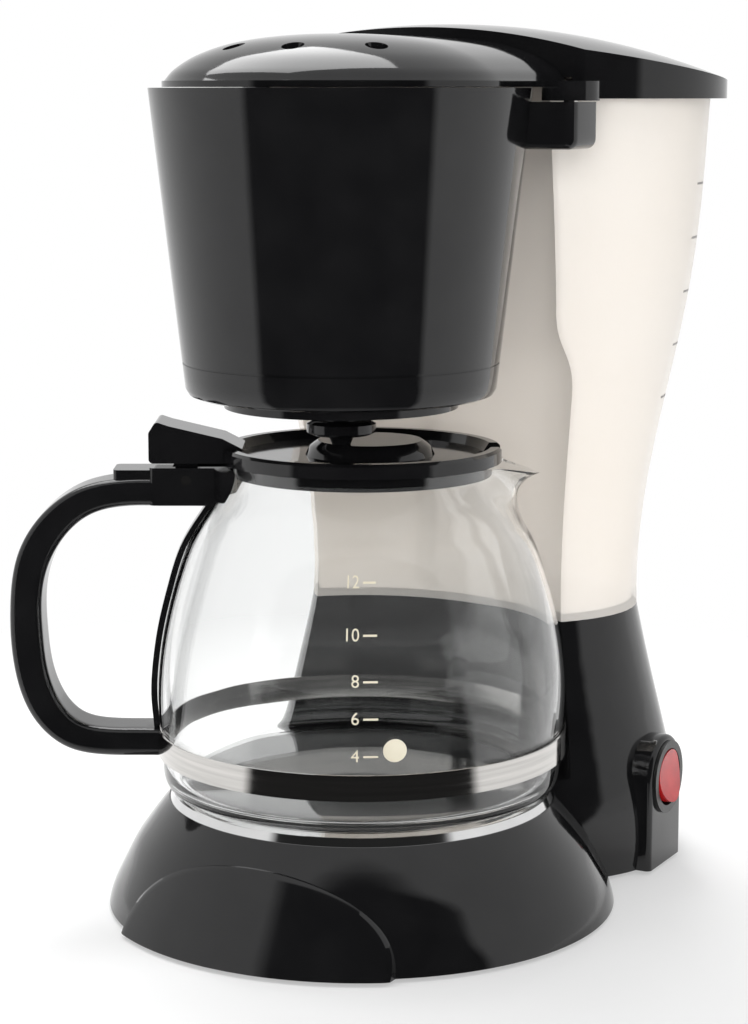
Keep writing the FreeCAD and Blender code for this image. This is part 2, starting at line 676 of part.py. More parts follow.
def check_ball():
    x, y = FLOOR_PORTS[0]
    rest = math.sqrt((BALL_R + FIT) ** 2 - VALVE_BORE_R ** 2)
    return Part.makeSphere(BALL_R, vec(x, y, BALL_SEAT_Z + rest))


# Filter holder: tapered cup that swings out on a vertical pin
HOLDER_WALL = 2.2
HOLDER_FLOOR_T = 2.5
HOLDER_EDGE = 3.0         # rounding of the lower edge
ROUND_SHARE = 1 - math.sqrt(0.5)
CAGE_R = 12.0             # cage round the drip-stop spring
CAGE_TOP_Z = 207.0
CAGE_WALL = 1.6
CAGE_WINDOWS = 3
CAGE_WINDOW_HALF = 3.0
CAGE_HEAD = 4.0           # closed height above the windows
NECK_R = 5.7
NECK_ROOM = 0.3
SEAM_Z = 199.0            # fine groove round the cup
SEAM_HALF = 0.4
SEAM_DEPTH = 0.5
KNUCKLE_OUT = 7.5         # knuckle beyond the pin
KNUCKLE_FRONT = 14.0
KNUCKLE_EDGE = 3.5
PIN_HEAD_R = HINGE_PIN_R + 1.0
PIN_HEAD_LOW_Z = KNUCKLE_LOW_Z + 0.4
PIN_HEAD_TOP_Z = KNUCKLE_LOW_Z + 2.0
HOLDER_SLOPE = (HOLDER_TOP_R - HOLDER_FLOOR_R) / (HOLDER_TOP_Z - HOLDER_FLOOR_Z)


def holder_radius(z):
    return HOLDER_FLOOR_R + HOLDER_SLOPE * (z - HOLDER_FLOOR_Z)


def cup(inset, z_low, z_high):
    low_r = holder_radius(z_low) - inset
    high_r = holder_radius(z_high) - inset
    return turned([(0, z_low), (low_r, z_low), (high_r, z_high), (0, z_high)], HEAD_Y)


def holder_cup():
    low = HOLDER_FLOOR_Z
    low_r = holder_radius(low)
    short = HOLDER_EDGE * ROUND_SHARE
    edge_z = low + HOLDER_EDGE
    profile = [(0, low), (low_r - HOLDER_EDGE, low), (low_r - short, low + short)]
    profile += [(holder_radius(edge_z), edge_z), (HOLDER_TOP_R, HOLDER_TOP_Z), (0, HOLDER_TOP_Z)]
    return turned(profile, HEAD_Y)


def holder_knuckle():
    # Block round the pin, rounded at its uprights and below.
    x_span = (HINGE_ARM_X, HINGE_X + KNUCKLE_OUT)
    y_span = (HINGE_Y - KNUCKLE_FRONT, HINGE_Y + KNUCKLE_OUT)
    block = box(x_span, y_span, (KNUCKLE_LOW_Z, KNUCKLE_TOP_Z))
    soft = [edge for edge in block.Edges if edge.BoundBox.ZMin < KNUCKLE_LOW_Z + SEAT]
    return block.makeFillet(KNUCKLE_EDGE, soft)


def spring_cage(floor_top):
    cage = tube(CAGE_R, CAGE_R - CAGE_WALL, floor_top, CAGE_TOP_Z, 0, HEAD_Y)
    cage = cage.fuse(cyl(CAGE_R, CAGE_TOP_Z - CAGE_WALL, CAGE_TOP_Z, 0, HEAD_Y))
    for step in range(CAGE_WINDOWS):
        half = CAGE_WINDOW_HALF
        window = box((-CAGE_R - OVER, CAGE_R + OVER), (-half, half), (floor_top, CAGE_TOP_Z - CAGE_HEAD))
        window.rotate(vec(0, 0, 0), UP, 180 * step / CAGE_WINDOWS)
        window.translate(vec(0, HEAD_Y, 0))
        cage = cage.cut(window)
    return cage


def filter_holder():
    floor_top = HOLDER_FLOOR_Z + HOLDER_FLOOR_T
    space = cup(HOLDER_WALL, floor_top, HOLDER_TOP_Z + FIT)
    shell = holder_cup().fuse(holder_knuckle()).cut(space)
    shell = shell.fuse(tube(COLLAR_R, COLLAR_R - HOLDER_WALL, COLLAR_Z, HOLDER_FLOOR_Z, 0, HEAD_Y))
    shell = shell.fuse(spring_cage(floor_top))
    shell = shell.cut(cyl(NECK_R + NECK_ROOM, HOLDER_FLOOR_Z - OVER, floor_top + FIT, 0, HEAD_Y))
    seam_r = holder_radius(SEAM_Z)
    seam = tube(seam_r + OVER, seam_r - SEAM_DEPTH, SEAM_Z - SEAM_HALF, SEAM_Z + SEAM_HALF, 0, HEAD_Y)
    shell = shell.cut(seam)
    shell = shell.cut(cyl(HINGE_PIN_R + FIT, KNUCKLE_LOW_Z, KNUCKLE_TOP_Z + OVER, HINGE_X, HINGE_Y))
    head_room = cyl(PIN_HEAD_R + SEAT, KNUCKLE_LOW_Z - OVER, PIN_HEAD_TOP_Z + SEAT, HINGE_X, HINGE_Y)
    return shell.cut(head_room).removeSplitter()


def holder_pin():
    shank = cyl(HINGE_PIN_R, PIN_HEAD_LOW_Z, BRIDGE_LOW_Z - PIN_ROOF, HINGE_X, HINGE_Y)
    head = cyl(PIN_HEAD_R, PIN_HEAD_LOW_Z, PIN_HEAD_TOP_Z, HINGE_X, HINGE_Y)
    return shank.fuse(head).removeSplitter()


# Lift-out filter basket standing on the drip-stop cage
BASKET_GAP = 1.2
BASKET_TOP_Z = 286.0
BASKET_WALL = 1.4
BASKET_FLOOR_T = 2.0
BASKET_RIM_H = 2.0
BASKET_SLOTS = 12
BASKET_SLOT_OUT = 46.0
BASKET_SLOT_HALF = 1.5


def filter_basket():
    inset = HOLDER_WALL + BASKET_GAP
    floor_top = CAGE_TOP_Z + BASKET_FLOOR_T
    space = cup(inset + BASKET_WALL, floor_top, BASKET_TOP_Z + FIT)
    basket = cup(inset, CAGE_TOP_Z, BASKET_TOP_Z).cut(space)
    rim_low = BASKET_TOP_Z - BASKET_RIM_H
    rim_r = holder_radius(rim_low) - HOLDER_WALL
    rim_in = rim_r - BASKET_GAP - BASKET_WALL
    basket = basket.fuse(tube(rim_r - GAP, rim_in, rim_low, BASKET_TOP_Z, 0, HEAD_Y))
    slot_y = (-BASKET_SLOT_HALF, BASKET_SLOT_HALF)
    for step in range(BASKET_SLOTS):
        slot = box((CAGE_R, BASKET_SLOT_OUT), slot_y, (CAGE_TOP_Z - OVER, floor_top + OVER))
        slot.rotate(vec(0, 0, 0), UP, 360 * step / BASKET_SLOTS)
        slot.translate(vec(0, HEAD_Y, 0))
        basket = basket.cut(slot)
    return basket.removeSplitter()


# Drip stop: the jug lid pushes the plunger up and lifts the seal
TIP_Z = 169.5
SAUCER_R = 12.2
SAUCER_LOW_Z = 173.0
SAUCER_TOP_Z = 178.0
TIP_R = 3.3
SAUCER_EDGE = 2.0
SEAL_R = 8.5
SEAL_LOW_Z = 193.8
SEAL_T = 2.0
STEM_R = 2.5              # stem of the plunger through the seal
STEM_H = 3.0
SPRING_R = 5.0
SPRING_WIRE_R = 0.6
SPRING_TURNS = 4


def drip_plunger():
    half = SAUCER_EDGE / 2
    brim = SAUCER_R - SAUCER_EDGE
    stem_top = SEAL_LOW_Z + STEM_H
    profile = [(0, TIP_Z), (TIP_R, TIP_Z), (TIP_R + half, SAUCER_LOW_Z - half), (brim, SAUCER_LOW_Z)]
    profile += [(SAUCER_R, SAUCER_LOW_Z + half), (SAUCER_R, SAUCER_TOP_Z - half), (brim, SAUCER_TOP_Z)]
    profile += [(NECK_R, SAUCER_TOP_Z), (NECK_R, SEAL_LOW_Z), (STEM_R, SEAL_LOW_Z)]
    profile += [(STEM_R, stem_top), (0, stem_top)]
    return turned(profile, HEAD_Y)


def drip_seal():
    return tube(SEAL_R, STEM_R, SEAL_LOW_Z, SEAL_LOW_Z + SEAL_T, 0, HEAD_Y)


def drip_spring():
    low = SEAL_LOW_Z + SEAL_T + SPRING_WIRE_R
    length = CAGE_TOP_Z - CAGE_WALL - SPRING_WIRE_R - low
    helix = Part.makeHelix(length / SPRING_TURNS, length, SPRING_R)
    ring = Part.Wire(Part.Circle(vec(SPRING_R, 0, 0), vec(0, 1, 0), SPRING_WIRE_R).toShape())
    coil = Part.Wire(helix).makePipeShell([ring], True, True)
    coil.translate(vec(0, HEAD_Y, low))
    return coil


# Mains switch in the side tongue and the cord inlet at the rear
ROCKER_TILT = 6.0         # degrees
ROCKER_PIN_R = 1.2
ROCKER_PIN_X = SWITCH_X - 3.5
ROCKER_BACK_X = SWITCH_X - 5.5
ROCKER_FRONT_X = SWITCH_X + 3.5
ROCKER_HEEL_R = 4.0
ROCKER_HEEL_H = 2.0
DISH_R = 40.0             # curve of the dished rocker face
DISH_X = SWITCH_X + 1.4   # lowest point of that face
SWITCH_BACK_X = SWITCH_X - 22.0
WELL_BACK_X = SWITCH_X - 9.0
BEZEL_OUT = 1.6
BEZEL_T = 1.2
ROCKER_ROOM = 0.9
PIN_REACH = SWITCH_BORE_R - 0.6
TERMINALS = [-5.0, 0.0, 5.0]
TERMINAL_L = 9.0
TERMINAL_HALF = 2.4
GLAND_BACK_Y = COLUMN_Y + COLUMN_FLOOR_A * PLAN_RATIO
GLAND_IN = 10.0
GLAND_OUT = 2.0
GLAND_FLANGE = 2.0
GLAND_FLANGE_T = 3.0
CORD_R = 3.3


def switch_rod(radius, x_low, x_high):
    return sideways(radius, (x_low, x_high), SWITCH_Y, SWITCH_Z)


def rocker_axle(radius, reach):
    return across(radius, (SWITCH_Y - reach, SWITCH_Y + reach), ROCKER_PIN_X, SWITCH_Z)


def switch_body():
    barrel = switch_rod(SWITCH_BORE_R - SEAT, SWITCH_BACK_X, SWITCH_X)
    body = barrel.fuse(switch_rod(SWITCH_BORE_R + BEZEL_OUT, SWITCH_X, SWITCH_X + BEZEL_T))
    body = body.cut(switch_rod(SWITCH_R + ROCKER_ROOM, WELL_BACK_X, SWITCH_X + BEZEL_T + OVER))
    return body.cut(rocker_axle(ROCKER_PIN_R, PIN_REACH)).removeSplitter()


def switch_pin():
    return rocker_axle(ROCKER_PIN_R, PIN_REACH)


def switch_rocker():
    # Round button with a dished face, turned on its pin to the off position.
    disc = switch_rod(SWITCH_R, ROCKER_BACK_X, ROCKER_FRONT_X)
    dish = across(DISH_R, (SWITCH_Y - DISH_R, SWITCH_Y + DISH_R), DISH_X + DISH_R, SWITCH_Z)
    heel = switch_rod(ROCKER_HEEL_R, ROCKER_BACK_X - ROCKER_HEEL_H, ROCKER_BACK_X)
    rocker = disc.cut(dish).fuse(heel)
    rocker = rocker.cut(rocker_axle(ROCKER_PIN_R + FIT, SWITCH_BORE_R)).removeSplitter()
    rocker.rotate(vec(ROCKER_PIN_X, SWITCH_Y, SWITCH_Z), vec(0, 1, 0), -ROCKER_TILT)
    return rocker


def switch_terminals():
    tabs = []
    half = TAB_T / 2
    x_span = (SWITCH_BACK_X - TERMINAL_L, SWITCH_BACK_X)
    z_span = (SWITCH_Z - TERMINAL_HALF, SWITCH_Z + TERMINAL_HALF)
    for offset in TERMINALS:
        y = SWITCH_Y + offset
        tabs.append(box(x_span, (y - half, y + half), z_span))
    return group(tabs)


def cord_gland():
    inner = GLAND_BACK_Y - GLAND_IN
    outer = GLAND_BACK_Y + GLAND_OUT
    sleeve = across(CORD_HOLE_R - SEAT, (inner, outer), 0, CORD_HOLE_Z)
    flange = across(CORD_HOLE_R + GLAND_FLANGE, (inner, inner + GLAND_FLANGE_T), 0, CORD_HOLE_Z)
    bore = across(CORD_R, (inner - OVER, outer + OVER), 0, CORD_HOLE_Z)
    return sleeve.fuse(flange).cut(bore).removeSplitter()


# Glass jug, drawn with its handle along -X and its spout along +X, then turned
JUG_LOW_Z = PLATE_Z + SEAT
JUG_H = JUG_RIM_Z - JUG_LOW_Z
# Each pair is (share of the belly radius, share of the jug height).
JUG_SHAPE = [(0.91, 0.0), (0.973, 0.03), (0.986, 0.134), (1.0, 0.276), (0.99, 0.392), (0.96, 0.509)]
JUG_SHAPE += [(0.911, 0.63), (0.846, 0.75), (0.771, 0.829), (0.69, 0.908), (0.658, 0.96), (0.655, 1.0)]
JUG_FLOOR_T = 2.5
SPOUT_DIP = 20.0          # slope of the pouring lip below the rim, degrees
SPOUT_LEAN = 0.4          # outward lean of the spout over its rise
SPOUT_FOOT_X = 42.0
SPOUT_DEPTH = 28.0
SPOUT_FOOT_R = 7.0
SPOUT_TOP_R = 12.5
SPOUT_L = 36.0
SPOUT_CUT_X = 47.0        # the spout opens into the jug above this point
SPOUT_CUT_DEPTH = 14.0
BAND_LOW_Z = 57.0
BAND_H = 9.0
BAND_R = 73.8
BAND_T = 0.8
BAND_MID_Z = BAND_LOW_Z + BAND_H / 2
LID_LOW_Z = 162.2
LID_FLOOR_T = 2.0
LID_R = 50.0
JUG_LID_TOP_Z = 167.4
JUG_HINGE_S = 62.0        # hinge of the jug lid, out from the jug axis
JUG_HINGE_Z = 156.0
JUG_PIN_R = 1.8
HANDLE_HALF = 10.0
GRIP_OUT = 125.5          # reach of the grip from the jug axis


def jug_form(offset, floor):
    curve = []
    for radius, height in JUG_SHAPE:
        z = JUG_LOW_Z + JUG_H * height + floor * (1 - height)
        curve.append((JUG_BELLY_R * radius + offset, z))
    return turned_curve(curve, [(0, JUG_RIM_Z), (0, JUG_LOW_Z + floor)])


def spout_form(inset):
    foot = vec(SPOUT_FOOT_X, 0, JUG_RIM_Z - SPOUT_DEPTH)
    cone = Part.makeCone(SPOUT_FOOT_R - inset, SPOUT_TOP_R - inset, SPOUT_L, foot, vec(SPOUT_LEAN, 0, 1))
    return cone.common(box((0, SPAN), (-SPAN, SPAN), (0, JUG_RIM_Z)))


def jug_glass():
    outer = jug_form(0, 0).fuse(spout_form(0))
    inside = box((0, SPOUT_CUT_X), (-SPAN, SPAN), (0, JUG_RIM_Z - SPOUT_CUT_DEPTH))
    glass = outer.cut(jug_form(-GLASS, JUG_FLOOR_T)).cut(spout_form(GLASS).cut(inside))
    dip = box((0, JUG_BELLY_R), (-JUG_BELLY_R, JUG_BELLY_R), (0, SPOUT_DEPTH))
    dip.rotate(vec(0, 0, 0), vec(0, 1, 0), SPOUT_DIP)
    dip.translate(vec(LID_R, 0, JUG_RIM_Z))
    return jug_turn(glass.cut(dip))


def jug_band():
    return tube(BAND_R, BAND_R - BAND_T, BAND_LOW_Z, BAND_LOW_Z + BAND_H)


# Handle: the grip is a bow between two arms, with a strap along the glass
HANDLE_TOP_Z = 156.5
HANDLE_LOW_Z = 55.5
ARM_H = 10.0              # height of both arms
TOP_ARM_S = 72.0          # where the bow leaves the arms, from the jug axis
LOW_ARM_S = 76.0
TOP_ROOT_S = 46.0         # where the arms end inside the jug form
LOW_ROOT_S = 60.0
# Each pair is (share of the reach beyond the upper arm, share of the handle height).
GRIP_OUTER = [(0.262, 0.997), (0.505, 0.97), (0.766, 0.876), (0.935, 0.738), (1.0, 0.54)]
GRIP_OUTER += [(0.981, 0.322), (0.85, 0.129), (0.636, 0.03), (0.411, 0.003)]
GRIP_INNER = [(0.355, 0.102), (0.561, 0.129), (0.72, 0.243), (0.785, 0.441), (0.776, 0.619)]
GRIP_INNER += [(0.636, 0.787), (0.449, 0.871), (0.262, 0.898)]
GRIP_EDGE = 3.0
ROOT_TOP_Z = 160.4        # block under the thumb lever
ROOT_LOW_Z = 147.0
ROOT_OUT = 75.0
ROOT_EDGE = 2.0
STEP_OUT = 88.0           # low step on the arm behind that block
STEP_TOP_Z = ROOT_TOP_Z - 1.0
STEP_LOW_Z = 153.0
CHEEK_Y = 6.4             # inner face of the hinge cheeks
WELL = 5.0                # room round the lid knuckle
STRAP_HALF = 7.0
STRAP_T = 2.6
SADDLE_R = JUG_NECK_R + 5.0
SADDLE_HALF = 20.0
SADDLE_H = 7.0
HANDLE_SCREW_L = 12.0


def side_points(points):
    return [vec(-s, 0, z) for s, z in points]


def bow(shares, first, last):
    reach = GRIP_OUT - TOP_ARM_S
    height = HANDLE_TOP_Z - HANDLE_LOW_Z
    inner = [(TOP_ARM_S + reach * out, HANDLE_LOW_Z + height * up) for out, up in shares]
    curve = Part.BSplineCurve()
    curve.interpolate(side_points([first] + inner + [last]))
    return curve.toShape()


def jug_strap():
    # Thin spine of the handle along the glass, with a saddle at the neck.
    spine_box = box((-SPAN, 0), (-STRAP_HALF, STRAP_HALF), (HANDLE_LOW_Z, HANDLE_TOP_Z))
    saddle_low = HANDLE_TOP_Z - SADDLE_H
    saddle_x = (-SPAN, -TOP_ROOT_S + SADDLE_HALF)
    saddle_box = box(saddle_x, (-SADDLE_HALF, SADDLE_HALF), (saddle_low, ROOT_TOP_Z))
    saddle = cyl(SADDLE_R, saddle_low, ROOT_TOP_Z).common(saddle_box)
    return jug_form(STRAP_T, 0).common(spine_box).fuse(saddle)


def handle_grip():
    top = HANDLE_TOP_Z
    low = HANDLE_LOW_Z
    outer = bow(GRIP_OUTER, (TOP_ARM_S, top), (LOW_ARM_S, low))
    inner = bow(GRIP_INNER, (LOW_ARM_S, low + ARM_H), (TOP_ARM_S, top - ARM_H))
    low_arm = [(LOW_ARM_S, low), (LOW_ROOT_S, low), (LOW_ROOT_S, low + ARM_H), (LOW_ARM_S, low + ARM_H)]
    top_arm = [(TOP_ARM_S, top - ARM_H), (TOP_ROOT_S, top - ARM_H), (TOP_ROOT_S, top), (TOP_ARM_S, top)]
    low_edges = Part.makePolygon(side_points(low_arm)).Edges
    top_edges = Part.makePolygon(side_points(top_arm)).Edges
    face = Part.Face(Part.Wire([outer] + low_edges + [inner] + top_edges))
    face.translate(vec(0, -HANDLE_HALF, 0))
    grip = face.extrude(vec(0, 2 * HANDLE_HALF, 0))
    flat = [edge for edge in grip.Edges if edge.BoundBox.YLength < SEAT]
    return grip.makeFillet(GRIP_EDGE, [edge for edge in flat if edge.BoundBox.ZLength > 2 * ARM_H])


def hinge_rod(radius, reach):
    return across(radius, (-reach, reach), -JUG_HINGE_S, JUG_HINGE_Z)


def screw_rod(start_s, end_s):
    return sideways(SCREW_R, (-end_s, -start_s), 0, BAND_MID_Z)


def jug_handle():
    half = HANDLE_HALF
    root = rounded_box((-ROOT_OUT, -TOP_ROOT_S), (-half, half), (ROOT_LOW_Z, ROOT_TOP_Z), ROOT_EDGE)
    narrow = half - ROOT_EDGE
    step_x = (-STEP_OUT, -ROOT_OUT + ROOT_EDGE)
    step = rounded_box(step_x, (-narrow, narrow), (STEP_LOW_Z, STEP_TOP_Z), ROOT_EDGE)
    grip = handle_grip().fuse(root).fuse(step).fuse(jug_strap())
    well = box((-JUG_HINGE_S - WELL, 0), (-CHEEK_Y, CHEEK_Y), (JUG_HINGE_Z - WELL, ROOT_TOP_Z + OVER))
    grip = grip.cut(well).cut(jug_form(GAP, 0))
    grip = grip.cut(cyl(BAND_R, BAND_LOW_Z - GAP, BAND_LOW_Z + BAND_H + GAP))
    grip = grip.cut(hinge_rod(JUG_PIN_R, 2 * half))
    grip = grip.cut(screw_rod(BAND_R - WELL, BAND_R + HANDLE_SCREW_L))
    return jug_turn(grip.removeSplitter())


def handle_screw():
    return jug_turn(screw_rod(BAND_R, BAND_R + HANDLE_SCREW_L))


def jug_lid_pin():
    return jug_turn(hinge_rod(JUG_PIN_R, HANDLE_HALF))


# Jug lid: dished disc with a dome under the drip stop and a thumb lever
SKIRT_R = JUG_NECK_R - GLASS - 1.0
SKIRT_T = 2.0
SKIRT_H = 5.0
LID_EDGE = 1.0
LID_RIM_W = 4.0
LID_RIM_SLOPE = 2.0
DOME_R = 18.5
DOME_FLARE = 5.0
DOME_EDGE = 2.0
DOME_X = 3.0              # the dome sits a little towards the spout
LEVER_HALF = 11.0
LEVER_IN = 42.0
LEVER_MID = 49.0
LEVER_OUT = 75.0
LEVER_TOP_Z = 177.0
LEVER_MID_Z = 171.0
LEVER_CHEEK = 4.0         # upright end of the lever below its top
LEVER_CROWN = 2.5
LEVER_BROW = 7.0
LEVER_EDGE = 1.5
LID_KNUCKLE_R = 4.0
LID_SLOTS = 4
LID_SLOT_X = -6.0
LID_SLOT_PITCH = 5.0
LID_SLOT_W = 2.4
LID_SLOT_HALF = 5.0
LID_SLOT_Y = 34.0
POUR_NOTCH = 8.0
POUR_NOTCH_HALF = 6.0


def lid_disc():
    inner = SKIRT_R - SKIRT_T
    skirt_low = LID_LOW_Z - SKIRT_H
    floor_top = LID_LOW_Z + LID_FLOOR_T
    rim_in = LID_R - LID_RIM_W
    profile = [(0, LID_LOW_Z), (inner, LID_LOW_Z), (inner, skirt_low), (SKIRT_R, skirt_low)]
    profile += [(SKIRT_R, LID_LOW_Z), (LID_R, LID_LOW_Z), (LID_R, JUG_LID_TOP_Z - LID_EDGE)]
    profile += [(LID_R - LID_EDGE, JUG_LID_TOP_Z), (rim_in, JUG_LID_TOP_Z)]
    profile += [(rim_in - LID_RIM_SLOPE, floor_top), (0, floor_top)]
    return turned(profile)


def lid_dome():
    low = LID_LOW_Z + LID_FLOOR_T / 2
    top = TIP_Z - SEAT
    profile = [(0, low), (DOME_R + DOME_FLARE, low), (DOME_R + DOME_FLARE - DOME_EDGE, top - DOME_EDGE)]
    dome = turned(profile + [(DOME_R, top), (0, top)])
    dome.translate(vec(DOME_X, 0, 0))
    return dome


def thumb_lever():
    outline = [(LEVER_IN, LID_LOW_Z), (LEVER_OUT, LID_LOW_Z), (LEVER_OUT, LEVER_TOP_Z - LEVER_CHEEK)]
    outline += [(LEVER_OUT - LEVER_CROWN, LEVER_TOP_Z), (LEVER_OUT - LEVER_BROW, LEVER_TOP_Z - LEVER_EDGE)]
    outline += [(LEVER_MID, LEVER_MID_Z), (LEVER_IN, JUG_LID_TOP_Z)]
    face = Part.Face(polygon([(-s, -LEVER_HALF, z) for s, z in outline]))
    block = face.extrude(vec(0, 2 * LEVER_HALF, 0))
    cross = [edge for edge in block.Edges if edge.BoundBox.YLength > LEVER_HALF]
    return block.makeFillet(LEVER_EDGE, [edge for edge in cross if edge.BoundBox.XMax < -LEVER_IN - OVER])


def jug_lid():
    floor_top = LID_LOW_Z + LID_FLOOR_T
    half = CHEEK_Y - GAP
    web_x = (-JUG_HINGE_S - LID_KNUCKLE_R, -JUG_HINGE_S + LID_KNUCKLE_R)
    web = box(web_x, (-half, half), (JUG_HINGE_Z, LID_LOW_Z + OVER))
    lid = lid_disc().fuse(lid_dome()).fuse(thumb_lever()).fuse(web).fuse(hinge_rod(LID_KNUCKLE_R, half))
    for side in (-1, 1):
        y = side * LID_SLOT_Y
        for step in range(LID_SLOTS):
            x = LID_SLOT_X + LID_SLOT_PITCH * step
            slot_y = (y - LID_SLOT_HALF, y + LID_SLOT_HALF)
            lid = lid.cut(box((x, x + LID_SLOT_W), slot_y, (LID_LOW_Z - OVER, floor_top + OVER)))
    notch_y = (-POUR_NOTCH_HALF, POUR_NOTCH_HALF)
    notch_z = (floor_top - OVER, JUG_LID_TOP_Z + OVER)
    lid = lid.cut(box((LID_R - POUR_NOTCH, LID_R + OVER), notch_y, notch_z))
    return jug_turn(lid.cut(hinge_rod(JUG_PIN_R + FIT, 2 * HANDLE_HALF)).removeSplitter())


PIECES = [
    base_housing, front_badge, bottom_cover, rubber_feet, cover_screws,
    hot_plate, hot_plate_trim, heater, heater_bracket, thermostat, thermal_fuse,
    inlet_hose, outlet_hose, hose_clamps, check_valve, check_ball, riser_tube,
    water_tank, tank_grommets, tank_lid, tank_lid_pin,
    head_bridge, spray_head, brew_cover,
    filter_holder, holder_pin, filter_basket, drip_plunger, drip_seal, drip_spring,
    switch_body, switch_pin, switch_rocker, switch_terminals, cord_gland,
    jug_glass, jug_band, jug_handle, handle_screw, jug_lid_pin, jug_lid,
]

os.makedirs("parts", exist_ok=True)
for piece in PIECES:
    shape = piece()
    shape.exportStep("parts/" + piece.__name__ + ".step")
    print(piece.__name__, len(shape.Solids), shape.isValid(), round(shape.Volume / 1000, 2))
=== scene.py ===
import bpy
import bmesh
import json
import math
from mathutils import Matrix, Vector
from mathutils.bvhtree import BVHTree


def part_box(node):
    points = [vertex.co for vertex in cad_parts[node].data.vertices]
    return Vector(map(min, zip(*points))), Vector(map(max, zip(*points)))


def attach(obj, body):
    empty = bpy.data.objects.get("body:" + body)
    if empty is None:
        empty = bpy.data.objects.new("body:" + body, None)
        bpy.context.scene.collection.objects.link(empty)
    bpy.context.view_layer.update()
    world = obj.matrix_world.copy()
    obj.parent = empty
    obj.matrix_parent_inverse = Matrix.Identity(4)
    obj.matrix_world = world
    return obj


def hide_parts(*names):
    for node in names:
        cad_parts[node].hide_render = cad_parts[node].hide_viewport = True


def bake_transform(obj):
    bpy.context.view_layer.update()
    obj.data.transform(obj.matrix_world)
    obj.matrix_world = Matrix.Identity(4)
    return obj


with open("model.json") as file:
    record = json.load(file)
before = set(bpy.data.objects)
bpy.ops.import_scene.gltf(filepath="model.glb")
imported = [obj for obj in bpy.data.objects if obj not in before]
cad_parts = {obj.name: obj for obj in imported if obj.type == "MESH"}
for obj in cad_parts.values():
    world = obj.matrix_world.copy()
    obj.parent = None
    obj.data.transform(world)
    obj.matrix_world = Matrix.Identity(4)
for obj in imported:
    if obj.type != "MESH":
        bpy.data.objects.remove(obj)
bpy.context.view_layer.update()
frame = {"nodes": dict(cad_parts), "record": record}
nodes = frame["nodes"]
print("frame loaded:", len(nodes), "nodes")


def addObject(name, data):
    obj = bpy.data.objects.new(name, data)
    bpy.context.scene.collection.objects.link(obj)
    return obj


# camera, matched to the photograph
cameraSet = {
    "azimuth": 28.0,         # degrees to the right of the front
    "pitch": 9.46,           # degrees down
    "distance": 0.8876,      # from the hot plate's axis
    "aside": 0.0044,         # to the right of that axis
    "height": 0.291,
    "focalPixels": 2515.5,   # focal length in the photograph's pixels
    "frameHeight": 1024,     # height of the photograph in pixels
    "sensor": 36.0,
}


def makeCamera(s):
    turn = math.radians(s["azimuth"])
    data = bpy.data.cameras.new("photoCamera")
    data.sensor_width = s["sensor"]
    data.lens = s["focalPixels"] * s["sensor"] / s["frameHeight"]
    camera = addObject("photoCamera", data)
    right = Vector((math.cos(turn), math.sin(turn), 0))
    ahead = Vector((-math.sin(turn), math.cos(turn), 0))
    camera.location = right * s["aside"] - ahead * s["distance"] + Vector((0, 0, s["height"]))
    camera.rotation_euler = (math.radians(90 - s["pitch"]), 0, turn)
    bpy.context.scene.camera = camera


makeCamera(cameraSet)
print("camera placed")

# materials
noiseBand = (0.3, 0.7)   # where most values of a noise lie


def newMaterial(name):
    mat = bpy.data.materials.new(name)
    mat.use_nodes = True
    tree = mat.node_tree
    return mat, tree, tree.nodes["Principled BSDF"]


def link(tree, out, socket):
    tree.links.new(out, socket)


def noise(tree, scale, detail=3.0, stretch=(1, 1, 1)):
    coord = tree.nodes.new("ShaderNodeTexCoord")
    place = tree.nodes.new("ShaderNodeMapping")
    place.inputs["Scale"].default_value = stretch
    tex = tree.nodes.new("ShaderNodeTexNoise")
    tex.inputs["Scale"].default_value = scale
    tex.inputs["Detail"].default_value = detail
    link(tree, coord.outputs["Object"], place.inputs["Vector"])
    link(tree, place.outputs["Vector"], tex.inputs["Vector"])
    return tex.outputs["Fac"]


def rangeNode(tree, value, low, high, toLow=0.0, toHigh=1.0):
    node = tree.nodes.new("ShaderNodeMapRange")
    node.inputs["From Min"].default_value = low
    node.inputs["From Max"].default_value = high
    node.inputs["To Min"].default_value = toLow
    node.inputs["To Max"].default_value = toHigh
    link(tree, value, node.inputs["Value"])
    return node.outputs["Result"]


def spread(tree, value, low, high):
    return rangeNode(tree, value, *noiseBand, low, high)


def tint(tree, value, dark, light):
    ramp = tree.nodes.new("ShaderNodeValToRGB")
    for stop, position, colour in zip(ramp.color_ramp.elements, noiseBand, (dark, light)):
        stop.position = position
        stop.color = (*colour, 1)
    link(tree, value, ramp.inputs["Fac"])
    return ramp.outputs["Color"]


def bump(tree, value, strength, distance, normal=None):
    node = tree.nodes.new("ShaderNodeBump")
    node.inputs["Strength"].default_value = strength
    node.inputs["Distance"].default_value = distance
    link(tree, value, node.inputs["Height"])
    if normal is not None:
        link(tree, normal, node.inputs["Normal"])
    return node.outputs["Normal"]


def wallShare(tree, sight, light):
    # share of the view that a clear wall blocks, and of the lamps' light on its way through
    path = tree.nodes.new("ShaderNodeLightPath")
    return rangeNode(tree, path.outputs["Is Shadow Ray"], 0, 1, sight, light)


